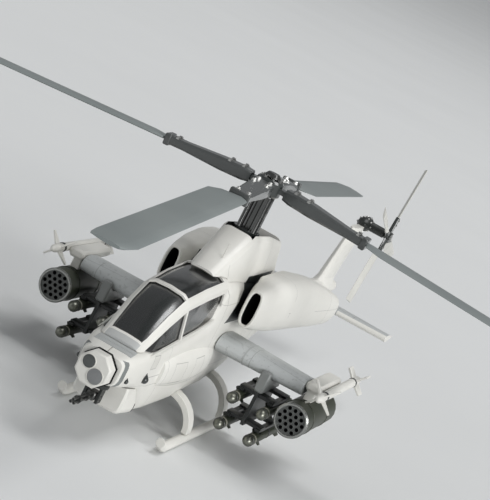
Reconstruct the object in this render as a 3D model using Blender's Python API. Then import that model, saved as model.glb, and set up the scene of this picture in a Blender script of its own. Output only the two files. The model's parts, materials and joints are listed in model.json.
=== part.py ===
"""Toy attack helicopter, about 1:48: a separable assembly of moulded pieces.

The nose points to -Y, the aircraft's left (port) side to +X, and up is +Z. Lengths in this file are
millimetres, measured from the foot of the rotor mast axis at ground level, and turned into metres when
a mesh is made. At the end the whole part is moved so that its origin is the bottom centre of its box.
"""

import math

import bmesh
import bpy
from mathutils import Matrix, Vector

MM = 0.001

# Gaps that every fit shares
FIT = 0.3
RUN = 0.4
SEAM = 0.3

# How far a piece sinks into the one it is fused with, and the edge break of small turned pieces
SINK = 0.5
SMALL_EDGE = 0.3

# Reach of a cutter that passes right through
FAR = 250.0

# Sides of the turned pieces, fewer where they are small
ROUND_SIDES, SMALL_SIDES, TINY_SIDES = 16, 12, 8

# Fuselage and tail boom: station, half width, bottom, top, squareness of the lower and upper corners
FUSELAGE = (
    (-88.0, 6.6, 21.2, 30.2, 3.2, 5.0),
    (-84.0, 8.2, 20.6, 31.4, 3.2, 6.0),
    (-78.0, 9.3, 20.2, 32.4, 3.2, 8.0),
    (-70.0, 10.0, 19.0, 33.4, 3.4, 8.0),
    (-63.0, 10.2, 10.0, 34.3, 3.4, 8.0),
    (-56.0, 10.3, 9.4, 35.2, 3.4, 8.0),
    (-40.0, 10.5, 9.2, 37.6, 3.4, 8.0),
    (-27.0, 10.8, 9.2, 41.0, 3.4, 8.0),
    (-20.0, 11.0, 9.2, 51.5, 3.2, 5.0),
    (0.0, 11.0, 9.6, 52.8, 3.0, 3.4),
    (18.0, 10.6, 12.2, 52.4, 2.8, 3.0),
    (40.0, 9.2, 18.0, 49.0, 2.6, 2.6),
    (66.0, 7.4, 22.8, 44.0, 2.4, 2.4),
    (110.0, 5.4, 26.2, 38.6, 2.2, 2.2),
    (150.0, 4.0, 27.8, 35.4, 2.1, 2.1),
    (174.0, 3.0, 28.8, 33.8, 2.1, 2.1),
)
FUSELAGE_SIDES = 20
WALL = 1.2

# Ammunition-bay cheeks on both sides of the fuselage
CHEEK_START, CHEEK_END = -60.0, -14.0
CHEEK_BULGE = 2.9
CHEEK_LOW, CHEEK_HIGH = 19.0, 31.0
CHEEK_STEPS, CHEEK_SIDES, CHEEK_SQUARE = 8, 16, 2.6

# Canopy: station, half width at the sill, shoulder half width, shoulder height, crown height, sill height
CANOPY = (
    (-78.0, 7.4, 6.0, 31.4, 32.4, 30.4),
    (-74.0, 8.6, 6.6, 34.0, 35.8, 32.4),
    (-65.0, 9.1, 7.2, 39.8, 43.2, 34.4),
    (-55.0, 9.4, 7.6, 44.6, 48.6, 36.2),
    (-40.0, 9.5, 7.9, 46.8, 51.0, 38.2),
    (-22.0, 9.3, 8.0, 48.4, 52.6, 41.0),
)
CANOPY_FOOT = 27.0
CROWN_STEPS, CROWN_FULLNESS = 4, 0.55
SILL_LAP = 1.0
GLASS = 0.9
FRAME_LIFT = 0.3
FRAME_THICK = 0.6
SILL_RAIL = 0.1
SHOULDER_RAIL_LOW, SHOULDER_RAIL_IN = 0.5, 1.1
BOW_Y = -55.0
BOW_WIDTH = 1.3
FRAME_HOOP = 2.0

# Cockpit tub and seats
TUB_FRONT, TUB_REAR = -71.0, -25.5
TUB_HALF = 6.4
TUB_FLOOR = 20.0
TUB_WALL = 1.0
TUB_RIM_DROP = 2.0
STEP_AHEAD = 4.0
FRONT_HOOD, REAR_HOOD, REAR_HOOD_RISE = 3.4, 1.6, 3.0
HOOD_FRONT, HOOD_REAR, HOOD_LEAN = 2.4, 1.2, 0.4
HOOD_DROP, HOOD_SLOPE, HOOD_GAP = 0.6, 1.8, 1.2
SEAT_HALF = 3.6
SEAT_LENGTH = 8.0
SEAT_BACK = 11.5
SEAT_THICK = 2.0
SEAT_FOOT, SEAT_LEAN = 1.2, 3.0
SEAT_HOLLOW, SEAT_RAISE = 0.6, 1.0
FRONT_SEAT_Y = -57.0
REAR_SEAT_Y = -36.0
REAR_SEAT_RISE = 5.0

# Nose sensor turret: an eight-sided head on a round stub
SENSOR_Z = 25.2
SENSOR_RADIUS = 5.7
SENSOR_DEPTH = 4.6
SENSOR_STUB = 2.6
SENSOR_STUB_LENGTH = 5.0
SENSOR_BEVEL = 0.5
SENSOR_SIDES = 8
LENS_DEPTH, LENS_DOME = 0.8, 0.25
UPPER_LENS_X, UPPER_LENS_RISE, UPPER_LENS_RADIUS = -1.9, 1.7, 1.75
LOWER_LENS_X, LOWER_LENS_RISE, LOWER_LENS_RADIUS = 1.6, -1.55, 2.0

# Chin gun
GUN_Y = -80.5
GUN_Z = 15.2
GUN_DRUM_RADIUS = 3.7
GUN_DRUM_HEIGHT = 1.6
GUN_STUB_RADIUS = 1.8
GUN_STUB_LENGTH, GUN_BORE_OVER = 3.0, 1.0
GUN_BLOCK_HALF = 1.5
GUN_BLOCK_LENGTH = 4.4
GUN_BLOCK_HEIGHT, GUN_BLOCK_BEVEL = 2.8, 0.4
GUN_CHEEK = 0.9
GUN_CHEEK_LENGTH = 3.4
GUN_PIN_RADIUS = 0.6
BARREL_LENGTH = 14.0
BARREL_RADIUS = 0.42
BARREL_CIRCLE = 0.62
BARREL_COUNT, BARREL_SIDES = 3, 6
BARREL_BANDS = (0.25, 0.72)
BAND_RISE, BAND_HALF = 0.25, 0.5

# Chin fairing behind the gun
CHIN_FRONT, CHIN_REAR = -75.6, -64.6
CHIN_HALF, CHIN_REAR_HALF = 8.3, 8.9
CHIN_BOTTOM, CHIN_REAR_BOTTOM = 11.5, 10.8
CHIN_TOP = 21.2
CHIN_EDGE = 0.7
CHIN_SQUARE = 7.0
CHIN_SIDES = 20

# Engine nacelles: station, inner side, outer side, bottom, top
NACELLE = (
    (-10.4, 12.9, 18.2, 39.2, 52.0),
    (-5.0, 11.4, 19.4, 38.0, 53.4),
    (8.0, 8.6, 21.4, 36.6, 55.0),
    (28.0, 8.0, 23.6, 36.2, 55.2),
    (48.0, 9.4, 26.0, 36.4, 53.0),
    (60.0, 12.6, 27.2, 37.2, 50.6),
    (66.0, 15.2, 27.0, 38.6, 49.0),
)
NACELLE_SQUARE, NACELLE_SIDES = 3.0, 20
INTAKE_LIP = 0.7
INTAKE_DEPTH, INTAKE_NARROW = 9.0, 1.4
NOZZLE_RADIUS = 4.0
NOZZLE_WALL = 0.7
NOZZLE_LENGTH = 8.0
NOZZLE_OUT, NOZZLE_BASE = 2.2, 1.0
NOZZLE_CANT = 12.0

# Rotor fairing: station, half width low, half width high, top
FAIRING = (
    (-29.0, 6.4, 5.0, 53.8),
    (-6.0, 8.0, 6.4, 67.2),
    (12.0, 8.2, 6.6, 66.0),
    (31.0, 8.0, 6.2, 63.2),
    (32.0, 8.0, 6.0, 59.8),
    (38.0, 7.0, 5.2, 58.6),
)
FAIRING_SINK, SKIRT_SHARE = 6.8, 0.25
FAIRING_CORNER, FAIRING_CORNER_STEPS = 3.2, 4
FAIRING_FLOOR = 57.0
FAIRING_OPEN_FRONT, FAIRING_OPEN_REAR, FAIRING_OPEN_HALF = -8.0, 30.0, 5.2

# Main rotor
HUB_Z = 81.9
MAST_RADIUS = 1.8
MAST_TAIL = 1.9
BUSH_RADIUS = 3.2
BUSH_FLANGE = 4.2
BUSH_FLANGE_THICK = 1.0
BUSH_DROP = 2.0
COLLAR_RADIUS = 3.6
COLLAR_THICK = 2.4
PLATE_RADIUS, PLATE_HEIGHT = 4.7, 1.6
PLATE_Z = 64.6
LINK_RADIUS, LINK_CIRCLE = 0.7, 3.8
HUB_RADIUS, HUB_HEIGHT, HUB_CHAMFER = 4.8, 5.6, 0.8
ARM_START, ARM_REACH = 2.0, 14.0
ARM_WIDTH, ARM_THICK = 4.4, 1.6
CAP_RADIUS, CAP_HEIGHT, CAP_EDGE, CAP_CROWN = 2.9, 1.6, 0.5, 2.0
BLADE_COUNT = 4
ROTOR_TURN = 3.0
DROOP = 3.6
DROOP_RADIUS = 10.0
CUFF_START, CUFF_END = 6.4, 37.5
CUFF_WIDTH, CUFF_HEIGHT = 7.0, 4.4
CUFF_ROOT_WIDTH, CUFF_ROOT_HEIGHT, CUFF_ROOT_RUN = 5.4, 3.8, 2.6
CUFF_TIP_WIDTH, CUFF_TIP_HEIGHT, CUFF_TIP_RUN = 6.2, 3.0, 7.0
ARM_COVER = 3.0
CUFF_BEVEL = 0.7
BLADE_START = 29.0
ROTOR_RADIUS = 152.0
BLADE_CHORD = 12.4
BLADE_THICK = 1.3
BLADE_ROOT_CHORD = 5.0
BLADE_FLARE = 44.0
BLADE_TIP_RUN, BLADE_TIP_CORNER, BLADE_TIP_CHORD = 7.0, 2.0, 9.0

# Tail: boom-end fin, gearbox and tail rotor
FIN_BASE_LEAD, FIN_BASE_TRAIL, FIN_BASE_Z = 143.0, 170.0, 29.0
FIN_TOP_LEAD, FIN_TOP_TRAIL, FIN_TOP_Z = 163.0, 188.0, 58.4
FIN_BASE_THICK, FIN_TOP_THICK = 5.4, 3.4
TAIL_HUB_SET_IN, TAIL_HUB_RISE = 3.5, 0.6
TAIL_HUB_X = 10.5
TAIL_HUB_Y = FIN_TOP_TRAIL - TAIL_HUB_SET_IN
TAIL_HUB_Z = FIN_TOP_Z + TAIL_HUB_RISE
GEARBOX_RADIUS, GEARBOX_LENGTH = 3.0, 14.0
GEARBOX_FRONT, GEARBOX_TAIL, GEARBOX_BLUNT, GEARBOX_SNOUT = 3.4, 4.4, 0.8, 2.0
TAIL_SHAFT_RADIUS, TAIL_SHAFT_LENGTH = 0.9, 6.0
TAIL_HUB_RADIUS, TAIL_HUB_THICK = 2.0, 2.4
TAIL_RADIUS = 32.0
TAIL_CHORD, TAIL_BLADE_THICK = 4.8, 0.9
TAIL_GRIP_END, TAIL_GRIP_CHORD, TAIL_GRIP_THICK = 8.6, 2.4, 1.8
TAIL_FLARE = 2.4
TAIL_BLADES = 4
TAIL_TURN, TAIL_PITCH = 20.6, 20.0

# Tail stabilisers
STABILISER_Y, STABILISER_Z = 130.0, 32.0
STABILISER_SPAN, STABILISER_CHORD, STABILISER_TIP_CHORD = 38.5, 15.0, 12.0
STABILISER_THICK, STABILISER_ROOT = 2.8, 1.0

# Wings
WING_Z = 31.1
WING_ROOT, WING_ROOT_LEAD, WING_ROOT_TRAIL = 6.0, -15.0, 11.0
WING_TIP_LEAD, WING_TIP_TRAIL = -10.6, 8.0
WING_SPAN = 42.4
WING_THICK, WING_TIP_THICK = 7.0, 5.8
TAB_LENGTH, TAB_WIDTH, TAB_THICK = 3.0, 7.0, 1.3

# Stores carried by the wings, each placed from the wing's tip
POD_OUT, POD_Z, POD_RADIUS = 2.6, 22.0, 5.7
POD_X = WING_SPAN + POD_OUT
POD_FRONT, POD_REAR = -17.9, 22.0
POD_RIM, POD_LIP, POD_TAIL = 0.5, 0.7, 3.0
POD_SIDES = 20
TUBE_RADIUS, TUBE_PITCH, TUBE_DEPTH = 0.66, 2.02, 2.0
TUBE_ROWS, TUBE_SIDES = 5, 6
OUTER_PYLON_HALF, OUTER_PYLON_LENGTH, OUTER_PYLON_BEVEL = 1.5, 16.0, 0.2
RACK_IN, RACK_Z = 12.0, 14.4
RACK_X = WING_SPAN - RACK_IN
RACK_STEP_X, RACK_STEP_Z = 5.5, 4.8
RACK_SPINE_HALF, RACK_FRONT, RACK_REAR = 0.6, -13.0, 8.0
RAIL_HALF, RAIL_HEIGHT = 0.9, 1.0
BAR_HEIGHT, BAR_LENGTH, BAR_INSET = 1.1, 5.0, 1.0
PYLON_HALF, PYLON_FRONT, PYLON_REAR, PYLON_FOOT, PYLON_BEVEL = 1.7, -14.0, 6.0, 23.6, 0.5
MISSILE_RADIUS, MISSILE_NOSE, MISSILE_LENGTH = 1.85, -21.0, 34.0
MISSILE_SIDES = 10
MISSILE_NOSE_LENGTH = 2.4
MISSILE_FIN_REACH, MISSILE_FIN_THICK = 2.85, 0.5
MISSILE_FIN_SWEEP, MISSILE_CANARD_SWEEP = 2.6, 1.6
MISSILE_FIN_LENGTH, MISSILE_CANARD_LENGTH, MISSILE_CANARD_Y = 5.5, 3.0, 9.0
TIP_OUT, TIP_Z = 7.8, 33.0
TIP_X = WING_SPAN + TIP_OUT
TIP_NOSE, TIP_LENGTH, TIP_RADIUS = -21.7, 54.0, 1.5
TIP_NOSE_LENGTH, TIP_FIN_SWEEP = 4.4, 1.0
TIP_FIN_REACH, TIP_FIN_LENGTH = 5.0, 6.0
TIP_CANARD_REACH, TIP_CANARD_LENGTH, TIP_CANARD_Y, TIP_CANARD_SWEEP = 6.0, 3.6, 4.2, 2.8
TIP_FIN_THICK = 0.6
SHOE_FRONT, SHOE_REAR = -10.0, 16.0
SHOE_HEIGHT, SHOE_BEVEL = 3.4, 0.9

# Halves of the aerofoil sections: share of the chord, share of half the thickness
SLIM = ((0.0, 0.0), (0.06, 0.62), (0.3, 1.0), (0.65, 0.72), (1.0, 0.14))
FULL = ((0.0, 0.0), (0.015, 0.32), (0.05, 0.6), (0.13, 0.86), (0.28, 1.0), (0.6, 0.82), (1.0, 0.16))

# Landing gear
SKID_X, SKID_RADIUS, SKID_SIDES = 18.1, 1.6, 12
SKID_FRONT, SKID_REAR = -51.0, 24.0
SKID_RISE, SKID_CURL, SKID_CURL_STEPS = 2.4, 6.0, 4
CROSS_FRONT_Y, CROSS_REAR_Y = -26.0, 10.5
CROSS_WIDTH, CROSS_THICK, CROSS_STEPS = 5.0, 2.0, 7
CROSS_FLAT, CROSS_FRONT_Z, CROSS_REAR_Z = 8.0, 13.4, 15.2


def clear_scene():
    for thing in list(bpy.data.objects):
        bpy.data.objects.remove(thing, do_unlink=True)


def body_of(bm, name="piece"):
    """A scene object, in metres, from a bmesh drawn in millimetres."""
    bmesh.ops.scale(bm, vec=(MM, MM, MM), verts=bm.verts)
    bmesh.ops.recalc_face_normals(bm, faces=bm.faces)
    mesh = bpy.data.meshes.new(name)
    bm.to_mesh(mesh)
    bm.free()
    made = bpy.data.objects.new(name, mesh)
    bpy.context.scene.collection.objects.link(made)
    return made


def boolean(target, operation, *tools):
    """Joins, cuts or trims the target with each tool, which is used up."""
    for tool in tools:
        step = target.modifiers.new(operation.lower(), "BOOLEAN")
        step.operation = operation
        step.solver = "EXACT"
        step.object = tool
        bpy.context.view_layer.update()
        graph = bpy.context.evaluated_depsgraph_get()
        result = bpy.data.meshes.new_from_object(target.evaluated_get(graph))
        target.modifiers.clear()
        target.data = result
        bpy.data.objects.remove(tool, do_unlink=True)
    return target


def join(target, *tools):
    return boolean(target, "UNION", *tools)


def cut(target, *tools):
    return boolean(target, "DIFFERENCE", *tools)


def keep(target, *tools):
    return boolean(target, "INTERSECT", *tools)


def place(thing, matrix):
    """Moves an object's mesh by a matrix whose shift is in millimetres."""
    move = matrix.copy()
    move.translation = move.translation * MM
    thing.data.transform(move)
    return thing


def moved(thing, x=0.0, y=0.0, z=0.0):
    return place(thing, Matrix.Translation((x, y, z)))


def turned(thing, degrees, axis):
    return place(thing, Matrix.Rotation(math.radians(degrees), 4, axis))


def mirrored(thing):
    """The same piece on the aircraft's other side."""
    thing.data.transform(Matrix.Scale(-1, 4, (1, 0, 0)))
    thing.data.flip_normals()
    return thing


def block(x0, x1, y0, y1, z0, z1, bevel=0.0):
    bm = bmesh.new()
    bmesh.ops.create_cube(bm, size=1)
    bmesh.ops.scale(bm, vec=(x1 - x0, y1 - y0, z1 - z0), verts=bm.verts)
    bmesh.ops.translate(bm, vec=((x0 + x1) / 2, (y0 + y1) / 2, (z0 + z1) / 2), verts=bm.verts)
    if bevel:
        bmesh.ops.bevel(
            bm, geom=bm.edges[:], offset=bevel, segments=1, profile=0.5, affect="EDGES", material=-1
        )
    return body_of(bm)


def lathe(profile, sides, axis="Z"):
    """A closed turned body from (radius, height) points that start and end on the axis."""
    bm = bmesh.new()
    points = [bm.verts.new((radius, 0, height)) for radius, height in profile]
    edges = [bm.edges.new(pair) for pair in zip(points, points[1:])]
    bmesh.ops.spin(
        bm, geom=points + edges, cent=(0, 0, 0), axis=(0, 0, 1), angle=math.tau, steps=sides, use_merge=True
    )
    bmesh.ops.remove_doubles(bm, verts=bm.verts, dist=1e-4)
    made = body_of(bm)
    if axis == "X":
        turned(made, 90, "Y")
    elif axis == "Y":
        turned(made, -90, "X")
    return made


def rod(radius, start, end, sides=SMALL_SIDES, axis="Z", bevel=0.0):
    """A round bar along an axis, with an optional chamfer at both ends."""
    profile = [(0, start), (radius - bevel, start), (radius, start + bevel)]
    profile += [(radius, end - bevel), (radius - bevel, end), (0, end)]
    if not bevel:
        profile = [(0, start), (radius, start), (radius, end), (0, end)]
    return lathe(profile, sides, axis)


def sleeve(outer, inner, start, end, sides=SMALL_SIDES, axis="Z"):
    return cut(rod(outer, start, end, sides, axis), rod(inner, start - SINK, end + SINK, sides, axis))


def loft(rings):
    """A closed skin over rings of equal length, capped at both ends, alike on both sides."""
    bm = bmesh.new()
    rows = [[bm.verts.new(point) for point in ring] for ring in rings]
    for low, high in zip(rows, rows[1:]):
        for i in range(len(low)):
            j = (i + 1) % len(low)
            if i < len(low) / 2:
                corners = (low[i], low[j], high[j], high[i])
            else:
                corners = (low[j], high[j], high[i], low[i])
            bm.faces.new(corners[:3])
            bm.faces.new((corners[0], *corners[2:]))
    bm.faces.new(reversed(rows[0]))
    bm.faces.new(rows[-1])
    return body_of(bm)


def plate(outline, axis, start, end):
    """A flat outline extruded along an axis; the outline lists the other two coordinates."""
    order = {"X": (2, 0, 1), "Y": (0, 2, 1), "Z": (0, 1, 2)}[axis]
    rings = []
    for level in (start, end):
        rings.append([[(*point, level)[i] for i in order] for point in outline])
    return loft(rings)


def rounded(half_width, bottom, top, square, sides, square_top=None):
    """A section between an ellipse and a rectangle, as (across, height) points."""
    middle, half_height = (bottom + top) / 2, (top - bottom) / 2
    points = []
    for i in range(sides):
        angle = math.tau * (i + 0.5) / sides
        c, s = math.cos(angle), math.sin(angle)
        corner = square_top if square_top and s > 0 else square
        across = math.copysign(abs(c) ** (2 / corner), c) * half_width
        up = math.copysign(abs(s) ** (2 / corner), s) * half_height
        points.append((across, middle + up))
    return points


def fuselage_loft(grow=0.0):
    """The fuselage and boom skin, moved out (or in) by grow."""
    rings = []
    for y, half, bottom, top, square, square_top in FUSELAGE:
        section = rounded(half + grow, bottom - grow, top + grow, square, FUSELAGE_SIDES, square_top)
        if y == FUSELAGE[0][0]:
            y -= grow
        if y == FUSELAGE[-1][0]:
            y += grow
        rings.append([(x, y, z) for x, z in section])
    return loft(rings)


def at_station(table, y, column):
    """A column of a station table, read between its stations."""
    for before, after in zip(table, table[1:]):
        if before[0] <= y <= after[0]:
            share = (y - before[0]) / (after[0] - before[0])
            return before[column] + share * (after[column] - before[column])
    return table[0][column] if y < table[0][0] else table[-1][column]


def cheek_loft(side, grow=0.0):
    """The ammunition-bay bulge on one side, from inside the wall to its crown, blunt at both ends."""
    rings = []
    middle = (CHEEK_LOW + CHEEK_HIGH) / 2
    for i in range(CHEEK_STEPS + 1):
        share = i / CHEEK_STEPS
        y = CHEEK_START + share * (CHEEK_END - CHEEK_START)
        swell = math.sin(math.pi * (0.06 + 0.88 * share)) ** 0.6
        reach = CHEEK_BULGE * swell + grow
        tall = (CHEEK_HIGH - CHEEK_LOW) / 2 * (0.55 + 0.45 * swell) + grow
        inside = at_station(FUSELAGE, y, 1) - WALL
        if i == 0:
            y -= grow
        if i == CHEEK_STEPS:
            y += grow
        section = rounded(reach + WALL, middle - tall, middle + tall, CHEEK_SQUARE, CHEEK_SIDES)
        rings.append([(side * (inside + x), y, z) for x, z in section])
    return loft(rings)


def canopy_loft(grow=0.0, foot=CANOPY_FOOT):
    """The canopy's outer skin: flat leaning sides and a crowned top, moved out by grow."""
    rings = []
    for y, sill, shoulder, shoulder_z, crown, sill_z in CANOPY:
        half = [(sill + grow, foot)]
        half.append((sill + grow, sill_z))
        for i in range(CROWN_STEPS + 1):
            angle = math.pi / 2 * i / CROWN_STEPS
            across = (shoulder + grow) * math.cos(angle) ** CROWN_FULLNESS
            up = shoulder_z + (crown + grow - shoulder_z) * math.sin(angle)
            half.append((across, up))
        half[-1] = (0.0, crown + grow)
        section = half + [(-x, z) for x, z in reversed(half[:-1])]
        if y == CANOPY[0][0]:
            y -= grow
        if y == CANOPY[-1][0]:
            y += grow
        rings.append([(x, y, z) for x, z in section])
    return loft(rings)


def nacelle_loft(grow=0.0):
    rings = []
    for y, inner, outer, bottom, top in NACELLE:
        middle = (inner + outer) / 2
        half = (outer - inner) / 2 + grow
        if y == NACELLE[0][0]:
            y -= grow
        if y == NACELLE[-1][0]:
            y += grow
        section = rounded(half, bottom - grow, top + grow, NACELLE_SQUARE, NACELLE_SIDES)
        rings.append([(middle + x, y, z) for x, z in section])
    return loft(rings)


def fairing_loft(grow=0.0):
    """The rotor fairing's skin, from a foot sunk in the fuselage roof up to rounded shoulders."""
    foot = at_station(FUSELAGE, 0.0, 3) - FAIRING_SINK
    rings = []
    for y, low, high, top in FAIRING:
        skirt = foot + SKIRT_SHARE * (top - FAIRING_CORNER - foot)
        if y == FAIRING[0][0]:
            y -= grow
        if y == FAIRING[-1][0]:
            y += grow
        half = [(low + grow, foot), (low + grow, skirt)]
        for i in range(FAIRING_CORNER_STEPS + 1):
            angle = math.pi / 2 * i / FAIRING_CORNER_STEPS
            across = high + grow - FAIRING_CORNER * (1 - math.cos(angle))
            half.append((across, top + grow - FAIRING_CORNER * (1 - math.sin(angle))))
        section = half + [(-x, z) for x, z in reversed(half)]
        rings.append([(x, y, z) for x, z in section])
    return loft(rings)


def finish(thing, name, colour, roughness, metallic=0.0, smooth=35.0):
    """Names a piece, gives it its material and parents it to the part's root."""
    thing.name = name
    thing.data.name = name
    paint = bpy.data.materials.new(name)
    paint.use_nodes = True
    shader = paint.node_tree.nodes["Principled BSDF"]
    shader.inputs["Base Color"].default_value = (*colour, 1.0)
    shader.inputs["Roughness"].default_value = roughness
    shader.inputs["Metallic"].default_value = metallic
    thing.data.materials.clear()
    thing.data.materials.append(paint)
    thing.data.shade_smooth()
    thing.data.set_sharp_from_angle(angle=math.radians(smooth))
    thing.parent = ROOT
    return thing


def on_axis(thing, x, y, z):
    """Puts a moving piece's origin on its joint axis, with its shape left where it is."""
    shift = Vector((x, y, z)) * MM
    thing.data.transform(Matrix.Translation(-shift))
    thing.location = thing.location + shift
    return thing


WHITE = (0.78, 0.77, 0.72)
PALE_GREY = (0.52, 0.54, 0.54)
BLADE_GREY = (0.2, 0.22, 0.22)
DARK = (0.035, 0.04, 0.04)
OLIVE = (0.16, 0.165, 0.13)
SMOKE = (0.08, 0.09, 0.09)
STEEL = (0.55, 0.55, 0.53)


def tab(side, x, y, z, grow=0.0):
    """A root tongue that plugs a wing or stabiliser into its slot."""
    start, end = x - TAB_LENGTH, x + TAB_LENGTH
    half, thick = TAB_WIDTH / 2 + grow, TAB_THICK / 2 + grow
    return block(min(side * start, side * end), max(side * start, side * end),
                 y - half, y + half, z - thick, z + thick)


WING_TAB_Y = (WING_ROOT_LEAD + WING_ROOT_TRAIL) / 2


def wing_root_x():
    return at_station(FUSELAGE, WING_TAB_Y, 1)


def stabiliser_root_x():
    return at_station(FUSELAGE, STABILISER_Y, 1)


def cross_tube(y, top, grow=0.0):
    """A broad flat strip that arches out of the belly and down to both skids."""
    foot = 2 * SKID_RADIUS + FIT - grow
    path = []
    for i in range(CROSS_STEPS + 1):
        angle = math.pi / 2 * i / CROSS_STEPS
        x = CROSS_FLAT + (SKID_X - CROSS_FLAT) * math.sin(angle)
        z = foot + (top - foot) * math.cos(angle)
        path.append((x, z, angle))
    path = [(-x, z, -angle) for x, z, angle in reversed(path)] + path
    rings = []
    half, thick = CROSS_WIDTH / 2 + grow, CROSS_THICK / 2 + grow
    for x, z, angle in path:
        out, up = math.sin(angle) * thick, math.cos(angle) * thick
        rings.append([(x + out, y - half, z + up), (x + out, y + half, z + up),
                      (x - out, y + half, z - up), (x - out, y - half, z - up)])
    return loft(rings)


def bush_foot():
    """The lower end of the mast's bush, just inside the fuselage roof."""
    return at_station(FUSELAGE, 0.0, 3) - WALL - BUSH_DROP


def mast_foot():
    """The mast's lower end, a short tail below its retaining collar."""
    return bush_foot() - FIT - COLLAR_THICK - MAST_TAIL


def sensor_face_y():
    return FUSELAGE[0][0] - FIT


def make_fuselage():
    """Two moulded half shells, split at the centre line, with every opening cut."""
    shell = join(fuselage_loft(), cheek_loft(1), cheek_loft(-1))
    cut(shell, fuselage_loft(-WALL))
    half = TUB_HALF + FIT
    cut(shell, block(-half, half, TUB_FRONT - FIT, TUB_REAR + FIT, TUB_FLOOR, FAR))
    cut(shell, rod(BUSH_RADIUS + FIT, mast_foot(), FAR))
    stub = rod(SENSOR_STUB + FIT, 0, SENSOR_STUB_LENGTH + 2 * FIT, axis="Y")
    cut(shell, moved(stub, y=FUSELAGE[0][0] - FIT, z=SENSOR_Z))
    roof = at_station(FUSELAGE, GUN_Y, 2)
    bore = rod(GUN_STUB_RADIUS + RUN, -GUN_BORE_OVER, GUN_STUB_LENGTH + GUN_BORE_OVER)
    cut(shell, moved(bore, y=GUN_Y, z=roof - RUN))
    for side in (1, -1):
        cut(shell, tab(side, wing_root_x(), WING_TAB_Y, WING_Z, FIT))
        cut(shell, tab(side, stabiliser_root_x(), STABILISER_Y, STABILISER_Z, FIT))
    cut(shell, cross_tube(CROSS_FRONT_Y, CROSS_FRONT_Z, FIT), cross_tube(CROSS_REAR_Y, CROSS_REAR_Z, FIT))
    for side, name in ((1, "fuselage_left"), (-1, "fuselage_right")):
        half = bpy.data.objects.new(name, shell.data.copy())
        bpy.context.scene.collection.objects.link(half)
        near, wide = side * SEAM / 2, side * FAR
        keep(half, block(min(near, wide), max(near, wide), -FAR, FAR, -FAR, FAR))
        finish(half, name, WHITE, 0.5)
    bpy.data.objects.remove(shell, do_unlink=True)


def below_sill():
    """Everything under the canopy's lower edge."""
    line = [(y, sill_z - SILL_LAP) for y, sill, shoulder, shoulder_z, crown, sill_z in CANOPY]
    line = [(-FAR, line[0][1])] + line + [(FAR, line[-1][1])]
    return plate(line + [(FAR, 0.0), (-FAR, 0.0)], "X", -FAR, FAR)


def make_canopy():
    """A smoked glass shell and the moulded frame that lies over its edges."""
    below = CANOPY_FOOT - SINK
    glass = cut(canopy_loft(), canopy_loft(-GLASS, below))
    cut(glass, fuselage_loft(FIT), below_sill())
    finish(glass, "canopy_glass", SMOKE, 0.1)
    outer = FRAME_LIFT + FRAME_THICK
    frame = cut(canopy_loft(outer), canopy_loft(FRAME_LIFT, below))
    cut(frame, fuselage_loft(FIT), below_sill())
    front, rear = CANOPY[0][0], CANOPY[-1][0]
    bays = ((front + FRAME_HOOP, BOW_Y - BOW_WIDTH / 2), (BOW_Y + BOW_WIDTH / 2, rear - FRAME_HOOP))
    for start, end in bays:
        stations = [start] + [row[0] for row in CANOPY if start < row[0] < end] + [end]
        low = [(y, at_station(CANOPY, y, 5) + SILL_RAIL) for y in stations]
        high = [(y, at_station(CANOPY, y, 3) + SHOULDER_RAIL_LOW) for y in stations]
        cut(frame, plate(low + high[::-1], "X", -FAR, FAR))
        top = [(at_station(CANOPY, y, 2) - SHOULDER_RAIL_IN, y) for y in stations]
        cut(frame, plate(top + [(-x, y) for x, y in reversed(top)], "Z", TUB_FLOOR, HUB_Z))
    finish(frame, "canopy_frame", WHITE, 0.5)


def make_cockpit():
    """An open tub with a raised rear floor and two instrument hoods, and the two stepped seats."""
    rim = at_station(FUSELAGE, BOW_Y, 3) - TUB_RIM_DROP
    floor = TUB_FLOOR + FIT
    inner = TUB_HALF - TUB_WALL
    tub = block(-TUB_HALF, TUB_HALF, TUB_FRONT, TUB_REAR, floor, rim)
    cut(tub, block(-inner, inner, TUB_FRONT + TUB_WALL, TUB_REAR - TUB_WALL, floor + TUB_WALL, FAR))
    step = REAR_SEAT_Y - SEAT_LENGTH / 2 - STEP_AHEAD
    step_top = floor + TUB_WALL + REAR_SEAT_RISE
    wide, rear = inner + SINK, TUB_REAR - TUB_WALL + SINK
    join(tub, block(-wide, wide, step, rear, floor + SINK, step_top))
    for y, rise in ((TUB_FRONT + FRONT_HOOD, 0.0), (step + REAR_HOOD, REAR_HOOD_RISE)):
        front, top = y - HOOD_FRONT, rim + rise - HOOD_DROP
        hood = [(front, floor + SINK), (y + HOOD_REAR, floor + SINK)]
        hood += [(y + HOOD_REAR + HOOD_LEAN, top), (front, top - HOOD_SLOPE)]
        join(tub, plate(hood, "X", HOOD_GAP - inner, inner - HOOD_GAP))
    finish(tub, "cockpit_tub", DARK, 0.7)
    for name, y, rise in (("front_seat", FRONT_SEAT_Y, 0.0), ("rear_seat", REAR_SEAT_Y, REAR_SEAT_RISE)):
        base = floor + TUB_WALL + rise + FIT
        front, back, top = y - SEAT_LENGTH / 2, y + SEAT_LENGTH / 2, base + SEAT_BACK
        pan = base + SEAT_THICK
        seat = [(front, base), (back + SEAT_FOOT, base), (back + SEAT_LEAN, top)]
        seat += [(back + SEAT_LEAN - SEAT_THICK, top), (back - SEAT_HOLLOW, pan + SEAT_RAISE), (front, pan)]
        finish(plate(seat, "X", -SEAT_HALF, SEAT_HALF), name, DARK, 0.8)


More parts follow.
